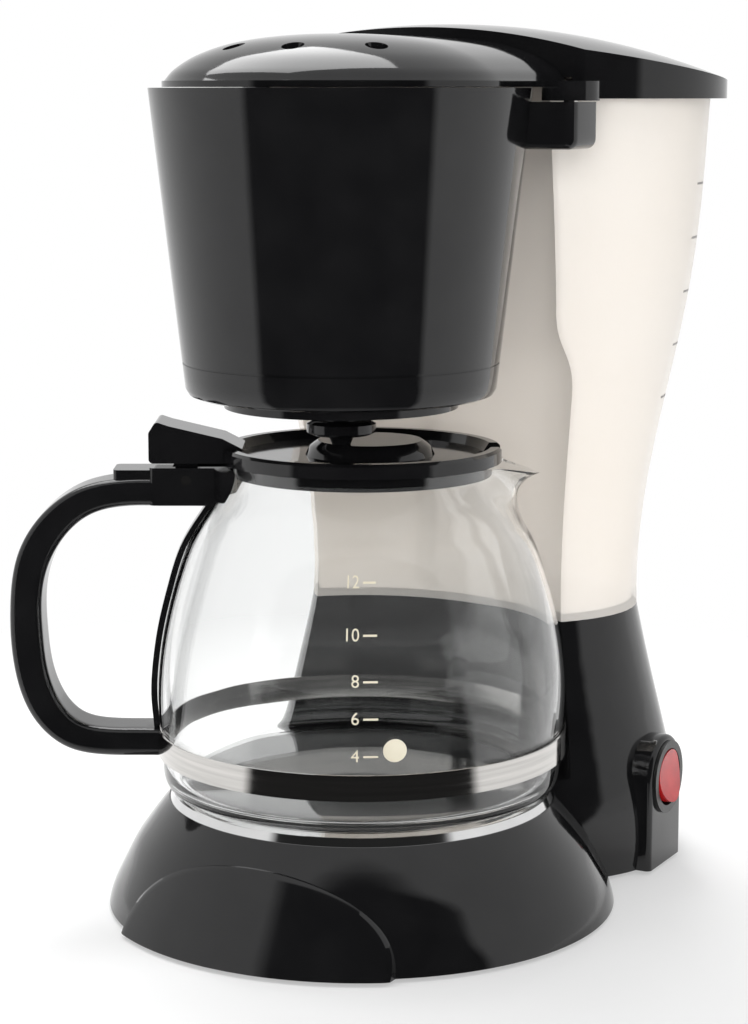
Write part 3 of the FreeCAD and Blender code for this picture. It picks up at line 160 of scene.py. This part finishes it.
# moulded plastics: colour, gloss, fine grain and a slow wave of the mould
mouldSet = {"fineScale": 1400, "fineDetail": 4, "slowScale": 22, "slowDetail": 2, "patchScale": 60,
            "grainDepth": 0.0002, "waveDepth": 0.002}
plasticSet = {
    "blackGloss": {"dark": (0.005, 0.005, 0.0055), "light": (0.008, 0.008, 0.0085),
                   "rough": (0.05, 0.09), "grain": 0.015, "wave": 0.04},
    "blackSatin": {"dark": (0.007, 0.007, 0.007), "light": (0.013, 0.013, 0.013),
                   "rough": (0.28, 0.4), "grain": 0.12, "wave": 0.04},
    "naturalPlastic": {"dark": (0.62, 0.6, 0.56), "light": (0.72, 0.7, 0.66),
                       "rough": (0.35, 0.5), "grain": 0.1, "wave": 0.05},
    "softRubber": {"dark": (0.012, 0.012, 0.012), "light": (0.022, 0.022, 0.022),
                   "rough": (0.6, 0.8), "grain": 0.3, "wave": 0.02},
    "paleSilicone": {"dark": (0.6, 0.58, 0.55), "light": (0.68, 0.66, 0.63),
                     "rough": (0.45, 0.6), "grain": 0.1, "wave": 0.05},
    "creamPrint": {"dark": (0.66, 0.61, 0.47), "light": (0.76, 0.71, 0.57),
                   "rough": (0.4, 0.55), "grain": 0.05, "wave": 0.02},
    "greyPrint": {"dark": (0.2, 0.19, 0.18), "light": (0.3, 0.29, 0.28),
                  "rough": (0.45, 0.6), "grain": 0.05, "wave": 0.02},
}


def plastic(name, s, mould):
    mat, tree, shader = newMaterial(name)
    fine = noise(tree, mould["fineScale"], mould["fineDetail"])
    slow = noise(tree, mould["slowScale"], mould["slowDetail"])
    patch = noise(tree, mould["patchScale"])
    link(tree, tint(tree, patch, s["dark"], s["light"]), shader.inputs["Base Color"])
    link(tree, spread(tree, fine, *s["rough"]), shader.inputs["Roughness"])
    waved = bump(tree, slow, s["wave"], mould["waveDepth"])
    grained = bump(tree, fine, s["grain"], mould["grainDepth"], waved)
    link(tree, grained, shader.inputs["Normal"])
    return mat


# metals: colour, gloss and direction of the brushing
brushSet = {"scale": 3.0, "detail": 5, "strength": 0.04, "depth": 0.0002}
metalSet = {
    "brushedSteel": {"dark": (0.5, 0.49, 0.47), "light": (0.64, 0.62, 0.6),
                     "rough": (0.06, 0.13), "stretch": (6, 6, 260)},
    "brightChrome": {"dark": (0.7, 0.7, 0.7), "light": (0.8, 0.8, 0.8),
                     "rough": (0.05, 0.12), "stretch": (20, 20, 20)},
    "castAluminium": {"dark": (0.5, 0.5, 0.51), "light": (0.62, 0.62, 0.63),
                      "rough": (0.4, 0.6), "stretch": (120, 120, 120)},
    "platedBrass": {"dark": (0.55, 0.42, 0.2), "light": (0.68, 0.54, 0.3),
                    "rough": (0.25, 0.4), "stretch": (80, 80, 80)},
}


def metal(name, s, brush):
    mat, tree, shader = newMaterial(name)
    brushed = noise(tree, brush["scale"], brush["detail"], s["stretch"])
    shader.inputs["Metallic"].default_value = 1.0
    link(tree, tint(tree, brushed, s["dark"], s["light"]), shader.inputs["Base Color"])
    link(tree, spread(tree, brushed, *s["rough"]), shader.inputs["Roughness"])
    link(tree, bump(tree, brushed, brush["strength"], brush["depth"]), shader.inputs["Normal"])
    return mat


coatedPlateSet = {
    "dark": (0.02, 0.02, 0.021), "light": (0.035, 0.035, 0.036), "rough": (0.28, 0.4),
    "fleckScale": 900, "fleckDetail": 6, "fleck": 0.12, "fleckDepth": 0.0002,
}


def coatedPlate(s):
    mat, tree, shader = newMaterial("coatedPlate")
    fleck = noise(tree, s["fleckScale"], s["fleckDetail"])
    link(tree, tint(tree, fleck, s["dark"], s["light"]), shader.inputs["Base Color"])
    link(tree, spread(tree, fleck, *s["rough"]), shader.inputs["Roughness"])
    link(tree, bump(tree, fleck, s["fleck"], s["fleckDepth"]), shader.inputs["Normal"])
    return mat


clearGlassSet = {
    "colour": (0.985, 0.99, 0.988, 1), "ior": 1.47, "rough": (0.0, 0.012), "wallShare": (1.0, 0.08),
    "hazeScale": 40, "waveScale": 14, "waveDetail": 1, "wave": 0.04, "waveDepth": 0.002,
}


def clearGlass(s):
    mat, tree, shader = newMaterial("clearGlass")
    shader.inputs["Base Color"].default_value = s["colour"]
    shader.inputs["Transmission Weight"].default_value = 1.0
    shader.inputs["IOR"].default_value = s["ior"]
    wave = noise(tree, s["waveScale"], s["waveDetail"])
    link(tree, spread(tree, noise(tree, s["hazeScale"]), *s["rough"]), shader.inputs["Roughness"])
    link(tree, wallShare(tree, *s["wallShare"]), shader.inputs["Alpha"])
    link(tree, bump(tree, wave, s["wave"], s["waveDepth"]), shader.inputs["Normal"])
    return mat


milkyTankSet = {
    "dark": (0.92, 0.865, 0.8), "light": (0.95, 0.91, 0.86), "rough": (0.34, 0.46), "wallShare": (0.6, 0.12),
    "cloudScale": 9, "cloudDetail": 2, "fineScale": 1100, "grain": 0.1, "grainDepth": 0.0003,
}


def milkyTank(s):
    mat, tree, shader = newMaterial("milkyTank")
    fine = noise(tree, s["fineScale"])
    cloud = noise(tree, s["cloudScale"], s["cloudDetail"])
    link(tree, tint(tree, cloud, s["dark"], s["light"]), shader.inputs["Base Color"])
    link(tree, spread(tree, fine, *s["rough"]), shader.inputs["Roughness"])
    link(tree, wallShare(tree, *s["wallShare"]), shader.inputs["Alpha"])
    link(tree, bump(tree, fine, s["grain"], s["grainDepth"]), shader.inputs["Normal"])
    return mat


redLensSet = {
    "dark": (0.45, 0.008, 0.012), "light": (0.62, 0.02, 0.022), "rough": (0.1, 0.2), "through": 0.15,
    "cloudScale": 120, "cloudDetail": 2, "hazeScale": 900,
    "grainScale": 700, "grain": 0.03, "grainDepth": 0.0002,
}


def redLens(s):
    mat, tree, shader = newMaterial("redLens")
    cloud = noise(tree, s["cloudScale"], s["cloudDetail"])
    grain = noise(tree, s["grainScale"])
    link(tree, tint(tree, cloud, s["dark"], s["light"]), shader.inputs["Base Color"])
    link(tree, spread(tree, noise(tree, s["hazeScale"]), *s["rough"]), shader.inputs["Roughness"])
    shader.inputs["Transmission Weight"].default_value = s["through"]
    link(tree, bump(tree, grain, s["grain"], s["grainDepth"]), shader.inputs["Normal"])
    return mat


finish = {name: plastic(name, s, mouldSet) for name, s in plasticSet.items()}
finish.update({name: metal(name, s, brushSet) for name, s in metalSet.items()})
finish["coatedPlate"] = coatedPlate(coatedPlateSet)
finish["clearGlass"] = clearGlass(clearGlassSet)
finish["milkyTank"] = milkyTank(milkyTankSet)
finish["redLens"] = redLens(redLensSet)
print("materials made:", len(finish))

# finish of each record slot
slotFinish = {
    "black_gloss": "blackGloss", "black_satin": "blackSatin", "milky": "milkyTank", "glass": "clearGlass",
    "steel": "brushedSteel", "chrome": "brightChrome", "alu": "castAluminium", "rubber": "softRubber",
    "silicone": "paleSilicone", "red": "redLens", "dark_plate": "coatedPlate", "brass": "platedBrass",
    "natural": "naturalPlastic",
}
bodyNodes = frame["record"]["behaviour"]["bodies"]
nodeBody = {node: body for body, group in bodyNodes.items() for node in group}
nodeSlot = {part["node"]: part["material_slot"] for part in frame["record"]["subparts"]}


def setFinish(obj, name):
    obj.data.materials.clear()
    obj.data.materials.append(finish[name])


# mesh helpers
meshSet = {
    "copyMerge": 0.00001,   # CAD meshes are loose triangles
    "ownMerge": 0.000001,
    "smoothAngle": 32.0,    # edges that turn more stay sharp
}


def mergeDoubles(work, distance):
    bmesh.ops.remove_doubles(work, verts=work.verts, dist=distance)


def closeShell(work):
    mergeDoubles(work, meshSet["ownMerge"])
    bmesh.ops.dissolve_degenerate(work, edges=work.edges, dist=meshSet["ownMerge"])
    bmesh.ops.recalc_face_normals(work, faces=work.faces)


def shadeSmooth(work, angle):
    limit = math.radians(angle)
    for face in work.faces:
        face.smooth = True
    for edge in work.edges:
        edge.smooth = edge.is_manifold and edge.calc_face_angle(0) < limit


def store(work, mesh):
    work.to_mesh(mesh)
    work.free()
    return mesh


def newMesh(work, name):
    return store(work, bpy.data.meshes.new(name))


def finalMesh(obj):
    bpy.context.view_layer.update()
    ready = obj.evaluated_get(bpy.context.evaluated_depsgraph_get())
    return bpy.data.meshes.new_from_object(ready)


def bridgeRows(work, rows):
    for low, high in zip(rows, rows[1:]):
        for step in range(len(low) - 1):
            work.faces.new((low[step], low[step + 1], high[step + 1], high[step]))


def beyond(near, far):
    return (2 * near[0] - far[0], 2 * near[1] - far[1])


def smoothCurve(points, share, first=None):
    # curve through all the points, by Catmull-Rom
    before = first or beyond(points[0], points[1])
    chain = (before,) + tuple(points) + (beyond(points[-1], points[-2]),)
    place = share * (len(points) - 1)
    index = min(int(place), len(points) - 2)
    t = place - index
    a, b, c, d = chain[index:index + 4]
    value = []
    for axis in (0, 1):
        p, q, r, u = a[axis], b[axis], c[axis], d[axis]
        value.append(0.5 * (2 * q + (r - p) * t + (2 * p - 5 * q + 4 * r - u) * t ** 2
                            + (3 * q - p - 3 * r + u) * t ** 3))
    return value


def wallTree(mesh):
    corners = [vert.co for vert in mesh.vertices]
    return BVHTree.FromPolygons(corners, [list(face.vertices) for face in mesh.polygons])


# arched plate on the front of the base
frontPlateSet = {
    "node": "front_badge", "under": "base_housing", "footRadius": 0.09548, "topRadius": 0.0778,
    "rings": 24, "crowding": 0.6,   # rings lie closer towards the edge
    "steps": 96, "smoothAngle": 40.0,
    "edgeDrop": 0.00035, "sink": 0.0002, "leastWall": 0.0003,
    "standOff": 0.05,               # where the search for the base starts
}


def makeFrontPlate(s):
    base = wallTree(nodes[s["under"]].data)
    lowest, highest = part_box(s["node"])
    rise = highest.z - lowest.z

    def outer(x, z):
        radius = s["footRadius"] + (s["topRadius"] - s["footRadius"]) * (z - lowest.z) / rise
        return Vector((x, -math.sqrt(radius ** 2 - x ** 2), z))

    def inner(point):
        start = Vector((point.x, point.y - s["standOff"], point.z))
        where = base.ray_cast(start, Vector((0, 1, 0)))[0] or point
        return Vector((point.x, max(where.y + s["sink"], point.y + s["leastWall"]), point.z))

    work = bmesh.new()
    rows = []
    for ring in range(s["rings"] + 1):
        share = (ring / s["rings"]) ** s["crowding"]
        row = []
        for step in range(s["steps"] + 1):
            turn = math.pi * step / s["steps"]
            point = outer(highest.x * share * math.cos(turn), lowest.z + rise * share * math.sin(turn))
            if ring == s["rings"]:
                point.y += s["edgeDrop"]
            row.append(work.verts.new(point))
        rows.append(row)
    rows += [[work.verts.new(inner(vert.co)) for vert in row] for row in rows[::-1]]
    bridgeRows(work, rows)
    for end in (0, -1):
        side = [row[end] for row in rows]
        half = len(side) // 2
        bridgeRows(work, (side[:half], side[:half - 1:-1]))
    closeShell(work)
    shadeSmooth(work, s["smoothAngle"])
    return newMesh(work, "frontPlate")


# domed brew cover with three vents
brewCoverSet = {
    "node": "brew_cover", "radius": 0.061, "axisY": -0.015, "wall": 0.002,
    "arch": ((0.0, 1.0), (0.33, 0.95), (0.6, 0.8), (0.8, 0.55), (0.93, 0.25), (0.99, 0.0)),   # out and up
    "mirrored": (-0.33, 0.95),      # the arch's second point, beyond the crown
    "rows": 40, "turnSteps": 72, "sideSteps": 12,
    "ventRing": 0.042, "ventRadius": 0.0038, "ventAngles": (-29, 7, 45),
    "ventSteps": 40, "drillLength": 0.04,
}


def coverGrid(work, s, inset):
    lowest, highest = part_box(s["node"])
    width = s["radius"] - inset
    height = highest.z - lowest.z - inset
    depth = highest.y - s["axisY"]
    rows = []
    for index in range(s["rows"] + 1):
        out, up = smoothCurve(s["arch"], index / s["rows"], s["mirrored"])
        radius = width * out
        z = lowest.z + height * up
        row = []
        for step in range(s["sideSteps"]):
            row.append((-radius, highest.y - depth * step / s["sideSteps"]))
        for step in range(s["turnSteps"] + 1):
            turn = math.pi * step / s["turnSteps"]
            row.append((-radius * math.cos(turn), s["axisY"] - radius * math.sin(turn)))
        for step in range(s["sideSteps"]):
            row.append((radius, s["axisY"] + depth * (step + 1) / s["sideSteps"]))
        rows.append([work.verts.new((x, y, z)) for x, y in row])
    return rows


def ventDrill(s, angle):
    turn = math.radians(angle)
    x = s["ventRing"] * math.sin(turn)
    y = s["axisY"] - s["ventRing"] * math.cos(turn)
    drill = bmesh.new()
    bmesh.ops.create_cone(drill, cap_ends=True, segments=s["ventSteps"], radius1=s["ventRadius"],
                          radius2=s["ventRadius"], depth=s["drillLength"])
    bmesh.ops.translate(drill, verts=drill.verts, vec=(x, y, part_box(s["node"])[1].z))
    return addObject("ventDrill", newMesh(drill, "ventDrill"))


def makeBrewCover(s):
    work = bmesh.new()
    outside = coverGrid(work, s, 0)
    inside = coverGrid(work, s, s["wall"])
    bridgeRows(work, outside)
    bridgeRows(work, inside)
    bridgeRows(work, (outside[-1], inside[-1]))
    for end in (0, -1):
        bridgeRows(work, ([row[end] for row in outside], [row[end] for row in inside]))
    closeShell(work)
    shell = addObject("coverShell", newMesh(work, "coverShell"))
    drills = [ventDrill(s, angle) for angle in s["ventAngles"]]
    for drill in drills:
        cut = shell.modifiers.new("vent", "BOOLEAN")
        cut.operation = "DIFFERENCE"
        cut.solver = "EXACT"
        cut.object = drill
    work = bmesh.new()
    work.from_mesh(finalMesh(shell))
    for helper in drills + [shell]:
        bpy.data.objects.remove(helper)
    shadeSmooth(work, meshSet["smoothAngle"])
    return newMesh(work, "brewCover")


# glass jug turned from its side line, with the lip drawn out to a spout
jugGlassSet = {
    "node": "jug_glass", "wall": 0.0022, "floor": 0.0025,
    "belly": 0.0733,                # largest radius; the side line is in shares of it and of the height
    "shape": ((0.91, 0.0), (0.973, 0.03), (0.986, 0.134), (1.0, 0.276), (0.99, 0.392), (0.96, 0.509),
              (0.911, 0.63), (0.846, 0.75), (0.771, 0.829), (0.69, 0.908), (0.658, 0.96), (0.655, 1.0)),
    "rows": 110, "steps": 240, "floorRings": 10,
    "spoutTurn": 28, "spoutHalf": 13,   # degrees
    "spoutLow": 0.1365, "spoutReach": 0.0155, "spoutDip": 0.0045,
    "spoutPeak": 1.5, "spoutEase": 2,   # powers: pointed across, slow at its foot
}


def jugRows(s, inset, floor):
    # rows of (radius, height), from the middle of the floor to the rim
    lowest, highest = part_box(s["node"])
    low = lowest.z + floor
    foot = s["belly"] * s["shape"][0][0] - inset
    rows = [(foot * ring / s["floorRings"], low) for ring in range(s["floorRings"])]
    for index in range(s["rows"] + 1):
        out, up = smoothCurve(s["shape"], index / s["rows"])
        rows.append((s["belly"] * out - inset, low + (highest.z - low) * up))
    return rows


def jugPoint(s, rim, radius, z, turn):
    aside = abs((turn - s["spoutTurn"] + 180) % 360 - 180)
    rise = min(max((z - s["spoutLow"]) / (rim - s["spoutLow"]), 0), 1)
    pull = math.exp(-(aside / s["spoutHalf"]) ** s["spoutPeak"]) * rise ** s["spoutEase"]
    radius += s["spoutReach"] * pull
    angle = math.radians(turn)
    return (radius * math.cos(angle), radius * math.sin(angle), z - s["spoutDip"] * pull * rise)


def makeJugGlass(s):
    work = bmesh.new()
    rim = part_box(s["node"])[1].z
    turns = [360 * step / s["steps"] for step in range(s["steps"])]
    grid = []
    for radius, z in jugRows(s, 0, 0) + jugRows(s, s["wall"], s["floor"])[::-1]:
        row = [work.verts.new(jugPoint(s, rim, radius, z, turn)) for turn in turns]
        grid.append(row + row[:1])
    bridgeRows(work, grid)
    closeShell(work)
    shadeSmooth(work, meshSet["smoothAngle"])
    return newMesh(work, "jugGlass")


# drip-stop spring between holder and valve, baked where it stands; it is not squeezed as the valve lifts
springSet = {"node": "drip_spring", "topBody": "holder", "footBody": "drip_valve"}


def holdSpring(piece):
    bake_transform(piece)


def smoothCopy(node):
    mesh = nodes[node].data.copy()
    mesh.name = node + "Smooth"
    carried = mesh.attributes.get("custom_normal")
    if carried is not None:
        mesh.attributes.remove(carried)   # the copy is shaded by its own edges
    work = bmesh.new()
    work.from_mesh(mesh)
    mergeDoubles(work, meshSet["copyMerge"])
    shadeSmooth(work, meshSet["smoothAngle"])
    return store(work, mesh)


ownMeshes = {
    frontPlateSet["node"]: makeFrontPlate(frontPlateSet),
    brewCoverSet["node"]: makeBrewCover(brewCoverSet),
    jugGlassSet["node"]: makeJugGlass(jugGlassSet),
}
for node in nodes:
    mesh = ownMeshes.get(node) or smoothCopy(node)
    piece = addObject(mesh.name, mesh)
    if node == springSet["node"]:
        holdSpring(piece)
    else:
        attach(piece, nodeBody[node])
    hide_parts(node)
    setFinish(piece, slotFinish[nodeSlot[node]])
    setFinish(nodes[node], slotFinish[nodeSlot[node]])
print("pieces finished")

# printed marks: flat meshes (x across, y up), given a thickness and laid on a round wall
markSet = {
    "lift": 0.00004, "thickness": 0.0001,
    "standOff": 0.3,   # where the search for the wall starts
}


def thicken(mesh, thickness):
    work = bmesh.new()
    work.from_mesh(mesh)
    mergeDoubles(work, meshSet["ownMerge"])
    copied = bmesh.ops.extrude_face_region(work, geom=work.faces[:], use_keep_orig=True)["geom"]
    lifted = [item for item in copied if isinstance(item, bmesh.types.BMVert)]
    bmesh.ops.translate(work, verts=lifted, vec=(0, 0, thickness))
    bmesh.ops.recalc_face_normals(work, faces=work.faces)
    store(work, mesh)


def printOn(mesh, wallMesh, s):
    thicken(mesh, markSet["thickness"])
    wall = wallTree(wallMesh)
    for vert in mesh.vertices:
        along = math.radians(s["turn"]) + vert.co.x / s["radius"]
        away = Vector((math.sin(along), -math.cos(along), 0))
        start = Vector((*s["axis"], vert.co.y)) + away * markSet["standOff"]
        where = wall.ray_cast(start, -away)[0]
        if where is not None:
            vert.co = where + away * (markSet["lift"] + vert.co.z)


# cup scale on the jug: figures, dashes and a round spot
jugScaleSet = {
    "cups": ((12, 0.1297), (10, 0.1127), (8, 0.0976), (6, 0.0852), (4, 0.0724)),   # cups and height
    "size": 0.006, "curveSteps": 4, "digitEdge": -0.0004,
    "dashStart": 0.0008, "dash": 0.005, "dashHeight": 0.0007,
    "spotAt": (0.0114, 0.0744), "spotRadius": 0.004, "spotSteps": 48,
    "axis": (0, 0), "turn": 28, "radius": 0.073,
}


def addFigure(work, s, words, height):
    curve = bpy.data.curves.new("figure", "FONT")
    curve.body = words
    curve.size = s["size"]
    curve.align_x = "RIGHT"
    curve.align_y = "CENTER"
    curve.resolution_u = s["curveSteps"]
    carrier = addObject("figure", curve)
    mesh = finalMesh(carrier)
    bpy.data.objects.remove(carrier)
    for vert in mesh.vertices:
        vert.co.x += s["digitEdge"]
        vert.co.y += height
    work.from_mesh(mesh)
    bpy.data.meshes.remove(mesh)


def addDash(work, s, height):
    left, right = s["dashStart"], s["dashStart"] + s["dash"]
    low, high = height - s["dashHeight"] / 2, height + s["dashHeight"] / 2
    corners = ((left, low), (right, low), (right, high), (left, high))
    work.faces.new([work.verts.new((x, y, 0)) for x, y in corners])


def makeJugScale(s):
    work = bmesh.new()
    for cups, height in s["cups"]:
        addFigure(work, s, str(cups), height)
        addDash(work, s, height)
    spot = bmesh.ops.create_circle(work, cap_ends=True, segments=s["spotSteps"], radius=s["spotRadius"])
    bmesh.ops.translate(work, verts=spot["verts"], vec=(*s["spotAt"], 0))
    bmesh.ops.triangulate(work, faces=work.faces)
    for face in work.faces:
        face.normal_update()
        if face.normal.z < 0:
            face.normal_flip()
    mesh = newMesh(work, "jugScale")
    printOn(mesh, ownMeshes[jugGlassSet["node"]], s)
    piece = addObject("jugScale", mesh)
    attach(piece, "jug")
    setFinish(piece, "creamPrint")


# level ticks on the side of the tank, repeated by nodes
tankTickSet = {
    "count": 5, "pitch": 0.02, "width": 0.01, "height": 0.0008, "low": 0.178, "barPoints": (9, 2),
    "axis": (0, 0.094), "turn": 98, "radius": 0.08,
}
tickInputs = {
    "count": "NodeSocketInt", "pitch": "NodeSocketFloat", "width": "NodeSocketFloat",
    "height": "NodeSocketFloat", "finish": "NodeSocketMaterial",
}


def tickTree(barPoints):
    tree = bpy.data.node_groups.new("levelTicks", "GeometryNodeTree")
    sockets = {}
    for name, kind in tickInputs.items():
        sockets[name] = tree.interface.new_socket(name, in_out="INPUT", socket_type=kind).identifier
    tree.interface.new_socket("Geometry", in_out="OUTPUT", socket_type="NodeSocketGeometry")
    given = tree.nodes.new("NodeGroupInput")
    result = tree.nodes.new("NodeGroupOutput")
    step = tree.nodes.new("ShaderNodeCombineXYZ")
    line = tree.nodes.new("GeometryNodeMeshLine")
    bar = tree.nodes.new("GeometryNodeMeshGrid")
    bar.inputs["Vertices X"].default_value = barPoints[0]
    bar.inputs["Vertices Y"].default_value = barPoints[1]
    place = tree.nodes.new("GeometryNodeInstanceOnPoints")
    real = tree.nodes.new("GeometryNodeRealizeInstances")
    paint = tree.nodes.new("GeometryNodeSetMaterial")
    link(tree, given.outputs["pitch"], step.inputs["Y"])
    link(tree, given.outputs["count"], line.inputs["Count"])
    link(tree, step.outputs["Vector"], line.inputs["Offset"])
    link(tree, given.outputs["width"], bar.inputs["Size X"])
    link(tree, given.outputs["height"], bar.inputs["Size Y"])
    link(tree, line.outputs["Mesh"], place.inputs["Points"])
    link(tree, bar.outputs["Mesh"], place.inputs["Instance"])
    link(tree, place.outputs["Instances"], real.inputs["Geometry"])
    link(tree, real.outputs["Geometry"], paint.inputs["Geometry"])
    link(tree, given.outputs["finish"], paint.inputs["Material"])
    link(tree, paint.outputs["Geometry"], result.inputs["Geometry"])
    return tree, sockets


def makeTankTicks(s):
    tree, sockets = tickTree(s["barPoints"])
    carrier = addObject("tickCarrier", bpy.data.meshes.new("tickCarrier"))
    ticks = carrier.modifiers.new("levelTicks", "NODES")
    ticks.node_group = tree
    for name in ("count", "pitch", "width", "height"):
        ticks[sockets[name]] = s[name]
    ticks[sockets["finish"]] = finish["greyPrint"]
    mesh = finalMesh(carrier)
    mesh.name = "tankTicks"
    carrier.modifiers.remove(ticks)
    bpy.data.objects.remove(carrier)
    for vert in mesh.vertices:
        vert.co.y += s["low"]
    printOn(mesh, nodes["water_tank"].data, s)
    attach(addObject("tankTicks", mesh), "machine")


makeJugScale(jugScaleSet)
makeTankTicks(tankTickSet)
print("marks printed")

# studio: pale floor, white surround, dark room in front of the machine
studioSet = {
    "floorHalf": 6.0, "floorColour": (0.82, 0.82, 0.82, 1), "floorRough": 0.7, "floorShine": 0.1,
    "floorGlow": 0.4, "whiteFrom": (0.2, 0.5),   # the floor turns white over these distances
    "darkFrom": (0.1, 0.2),                      # and dark in reflections of its front over these
    "darkEdge": (0.5, 0.58),                     # cosines from the camera's side at which the front begins
    "darkLevel": 0.02, "roomLevel": 0.9, "whiteLevel": 1.0,
    "aim": (0, 0.03, 0.15),                      # where the lamps point
    "key": {"at": (-0.8, 1.0, 1.5), "size": 0.7, "power": 18, "shows": False},
    "fill": {"at": (0.75, -1.45, 0.5), "size": 0.8, "power": 16, "shows": False},
    "top": {"at": (-0.55, 0.35, 1.5), "size": 1.1, "power": 16, "shows": True},   # shows in reflections
}


def mathNode(tree, operation, first, second):
    node = tree.nodes.new("ShaderNodeMath")
    node.operation = operation
    link(tree, first, node.inputs[0])
    link(tree, second, node.inputs[1])
    return node.outputs["Value"]


def glowNode(tree, strength):
    node = tree.nodes.new("ShaderNodeEmission")
    node.inputs["Strength"].default_value = strength
    return node.outputs["Emission"]


def mixNode(tree, share, first, second):
    node = tree.nodes.new("ShaderNodeMixShader")
    link(tree, share, node.inputs["Fac"])
    link(tree, first, node.inputs[1])
    link(tree, second, node.inputs[2])
    return node.outputs["Shader"]


def facingNode(tree, direction, azimuth):
    unit = tree.nodes.new("ShaderNodeVectorMath")
    unit.operation = "NORMALIZE"
    link(tree, direction, unit.inputs[0])
    facing = tree.nodes.new("ShaderNodeVectorMath")
    facing.operation = "DOT_PRODUCT"
    turn = math.radians(azimuth)
    facing.inputs[1].default_value = (math.sin(turn), -math.cos(turn), 0)
    link(tree, unit.outputs["Vector"], facing.inputs[0])
    return facing.outputs["Value"]


def floorMaterial(s, azimuth):
    mat, tree, shader = newMaterial("paleFloor")
    shader.inputs["Base Color"].default_value = s["floorColour"]
    shader.inputs["Roughness"].default_value = s["floorRough"]
    shader.inputs["Specular IOR Level"].default_value = s["floorShine"]
    coord = tree.nodes.new("ShaderNodeTexCoord")
    path = tree.nodes.new("ShaderNodeLightPath")
    length = tree.nodes.new("ShaderNodeVectorMath")
    length.operation = "LENGTH"
    link(tree, coord.outputs["Object"], length.inputs[0])
    front = rangeNode(tree, facingNode(tree, coord.outputs["Object"], azimuth), *s["darkEdge"])
    away = rangeNode(tree, length.outputs["Value"], *s["darkFrom"])
    dark = mathNode(tree, "MULTIPLY", front, away)
    dark = mathNode(tree, "MULTIPLY", dark, path.outputs["Is Glossy Ray"])
    seen = mathNode(tree, "MAXIMUM", path.outputs["Is Camera Ray"], path.outputs["Is Transmission Ray"])
    seen = mathNode(tree, "MAXIMUM", seen, path.outputs["Is Glossy Ray"])
    far = rangeNode(tree, length.outputs["Value"], *s["whiteFrom"], s["floorGlow"])
    white = mathNode(tree, "MULTIPLY", seen, far)
    lit = mixNode(tree, white, shader.outputs["BSDF"], glowNode(tree, s["whiteLevel"]))
    shown = mixNode(tree, dark, lit, glowNode(tree, s["darkLevel"]))
    link(tree, shown, tree.nodes["Material Output"].inputs["Surface"])
    return mat


def makeFloor(s, azimuth):
    half = s["floorHalf"]
    corners = [(-half, -half, 0), (half, -half, 0), (half, half, 0), (-half, half, 0)]
    mesh = bpy.data.meshes.new("studioFloor")
    mesh.from_pydata(corners, [], [(0, 1, 2, 3)])
    mesh.materials.append(floorMaterial(s, azimuth))
    addObject("studioFloor", mesh)


def makeWorld(s, azimuth):
    world = bpy.data.worlds.new("studioWorld")
    bpy.context.scene.world = world
    world.use_nodes = True
    tree = world.node_tree
    back = tree.nodes["Background"]
    coord = tree.nodes.new("ShaderNodeTexCoord")
    path = tree.nodes.new("ShaderNodeLightPath")
    facing = facingNode(tree, coord.outputs["Generated"], azimuth)
    level = rangeNode(tree, facing, *s["darkEdge"], s["roomLevel"], s["darkLevel"])
    seen = mathNode(tree, "MAXIMUM", path.outputs["Is Camera Ray"], path.outputs["Is Transmission Ray"])
    link(tree, mathNode(tree, "MAXIMUM", level, seen), back.inputs["Strength"])
    back.inputs["Color"].default_value = (1, 1, 1, 1)


def makeLamp(name, s, aim):
    data = bpy.data.lights.new(name, "AREA")
    data.size = s["size"]
    data.energy = s["power"]
    lamp = addObject(name, data)
    lamp.location = s["at"]
    lamp.rotation_euler = (Vector(aim) - Vector(s["at"])).to_track_quat("-Z", "Y").to_euler()
    lamp.visible_glossy = s["shows"]
    lamp.visible_transmission = False


makeFloor(studioSet, cameraSet["azimuth"])
makeWorld(studioSet, cameraSet["azimuth"])
for lampName in ("key", "fill", "top"):
    makeLamp(lampName + "Lamp", studioSet[lampName], studioSet["aim"])
bpy.context.scene.view_settings.view_transform = "Standard"
print("studio ready")
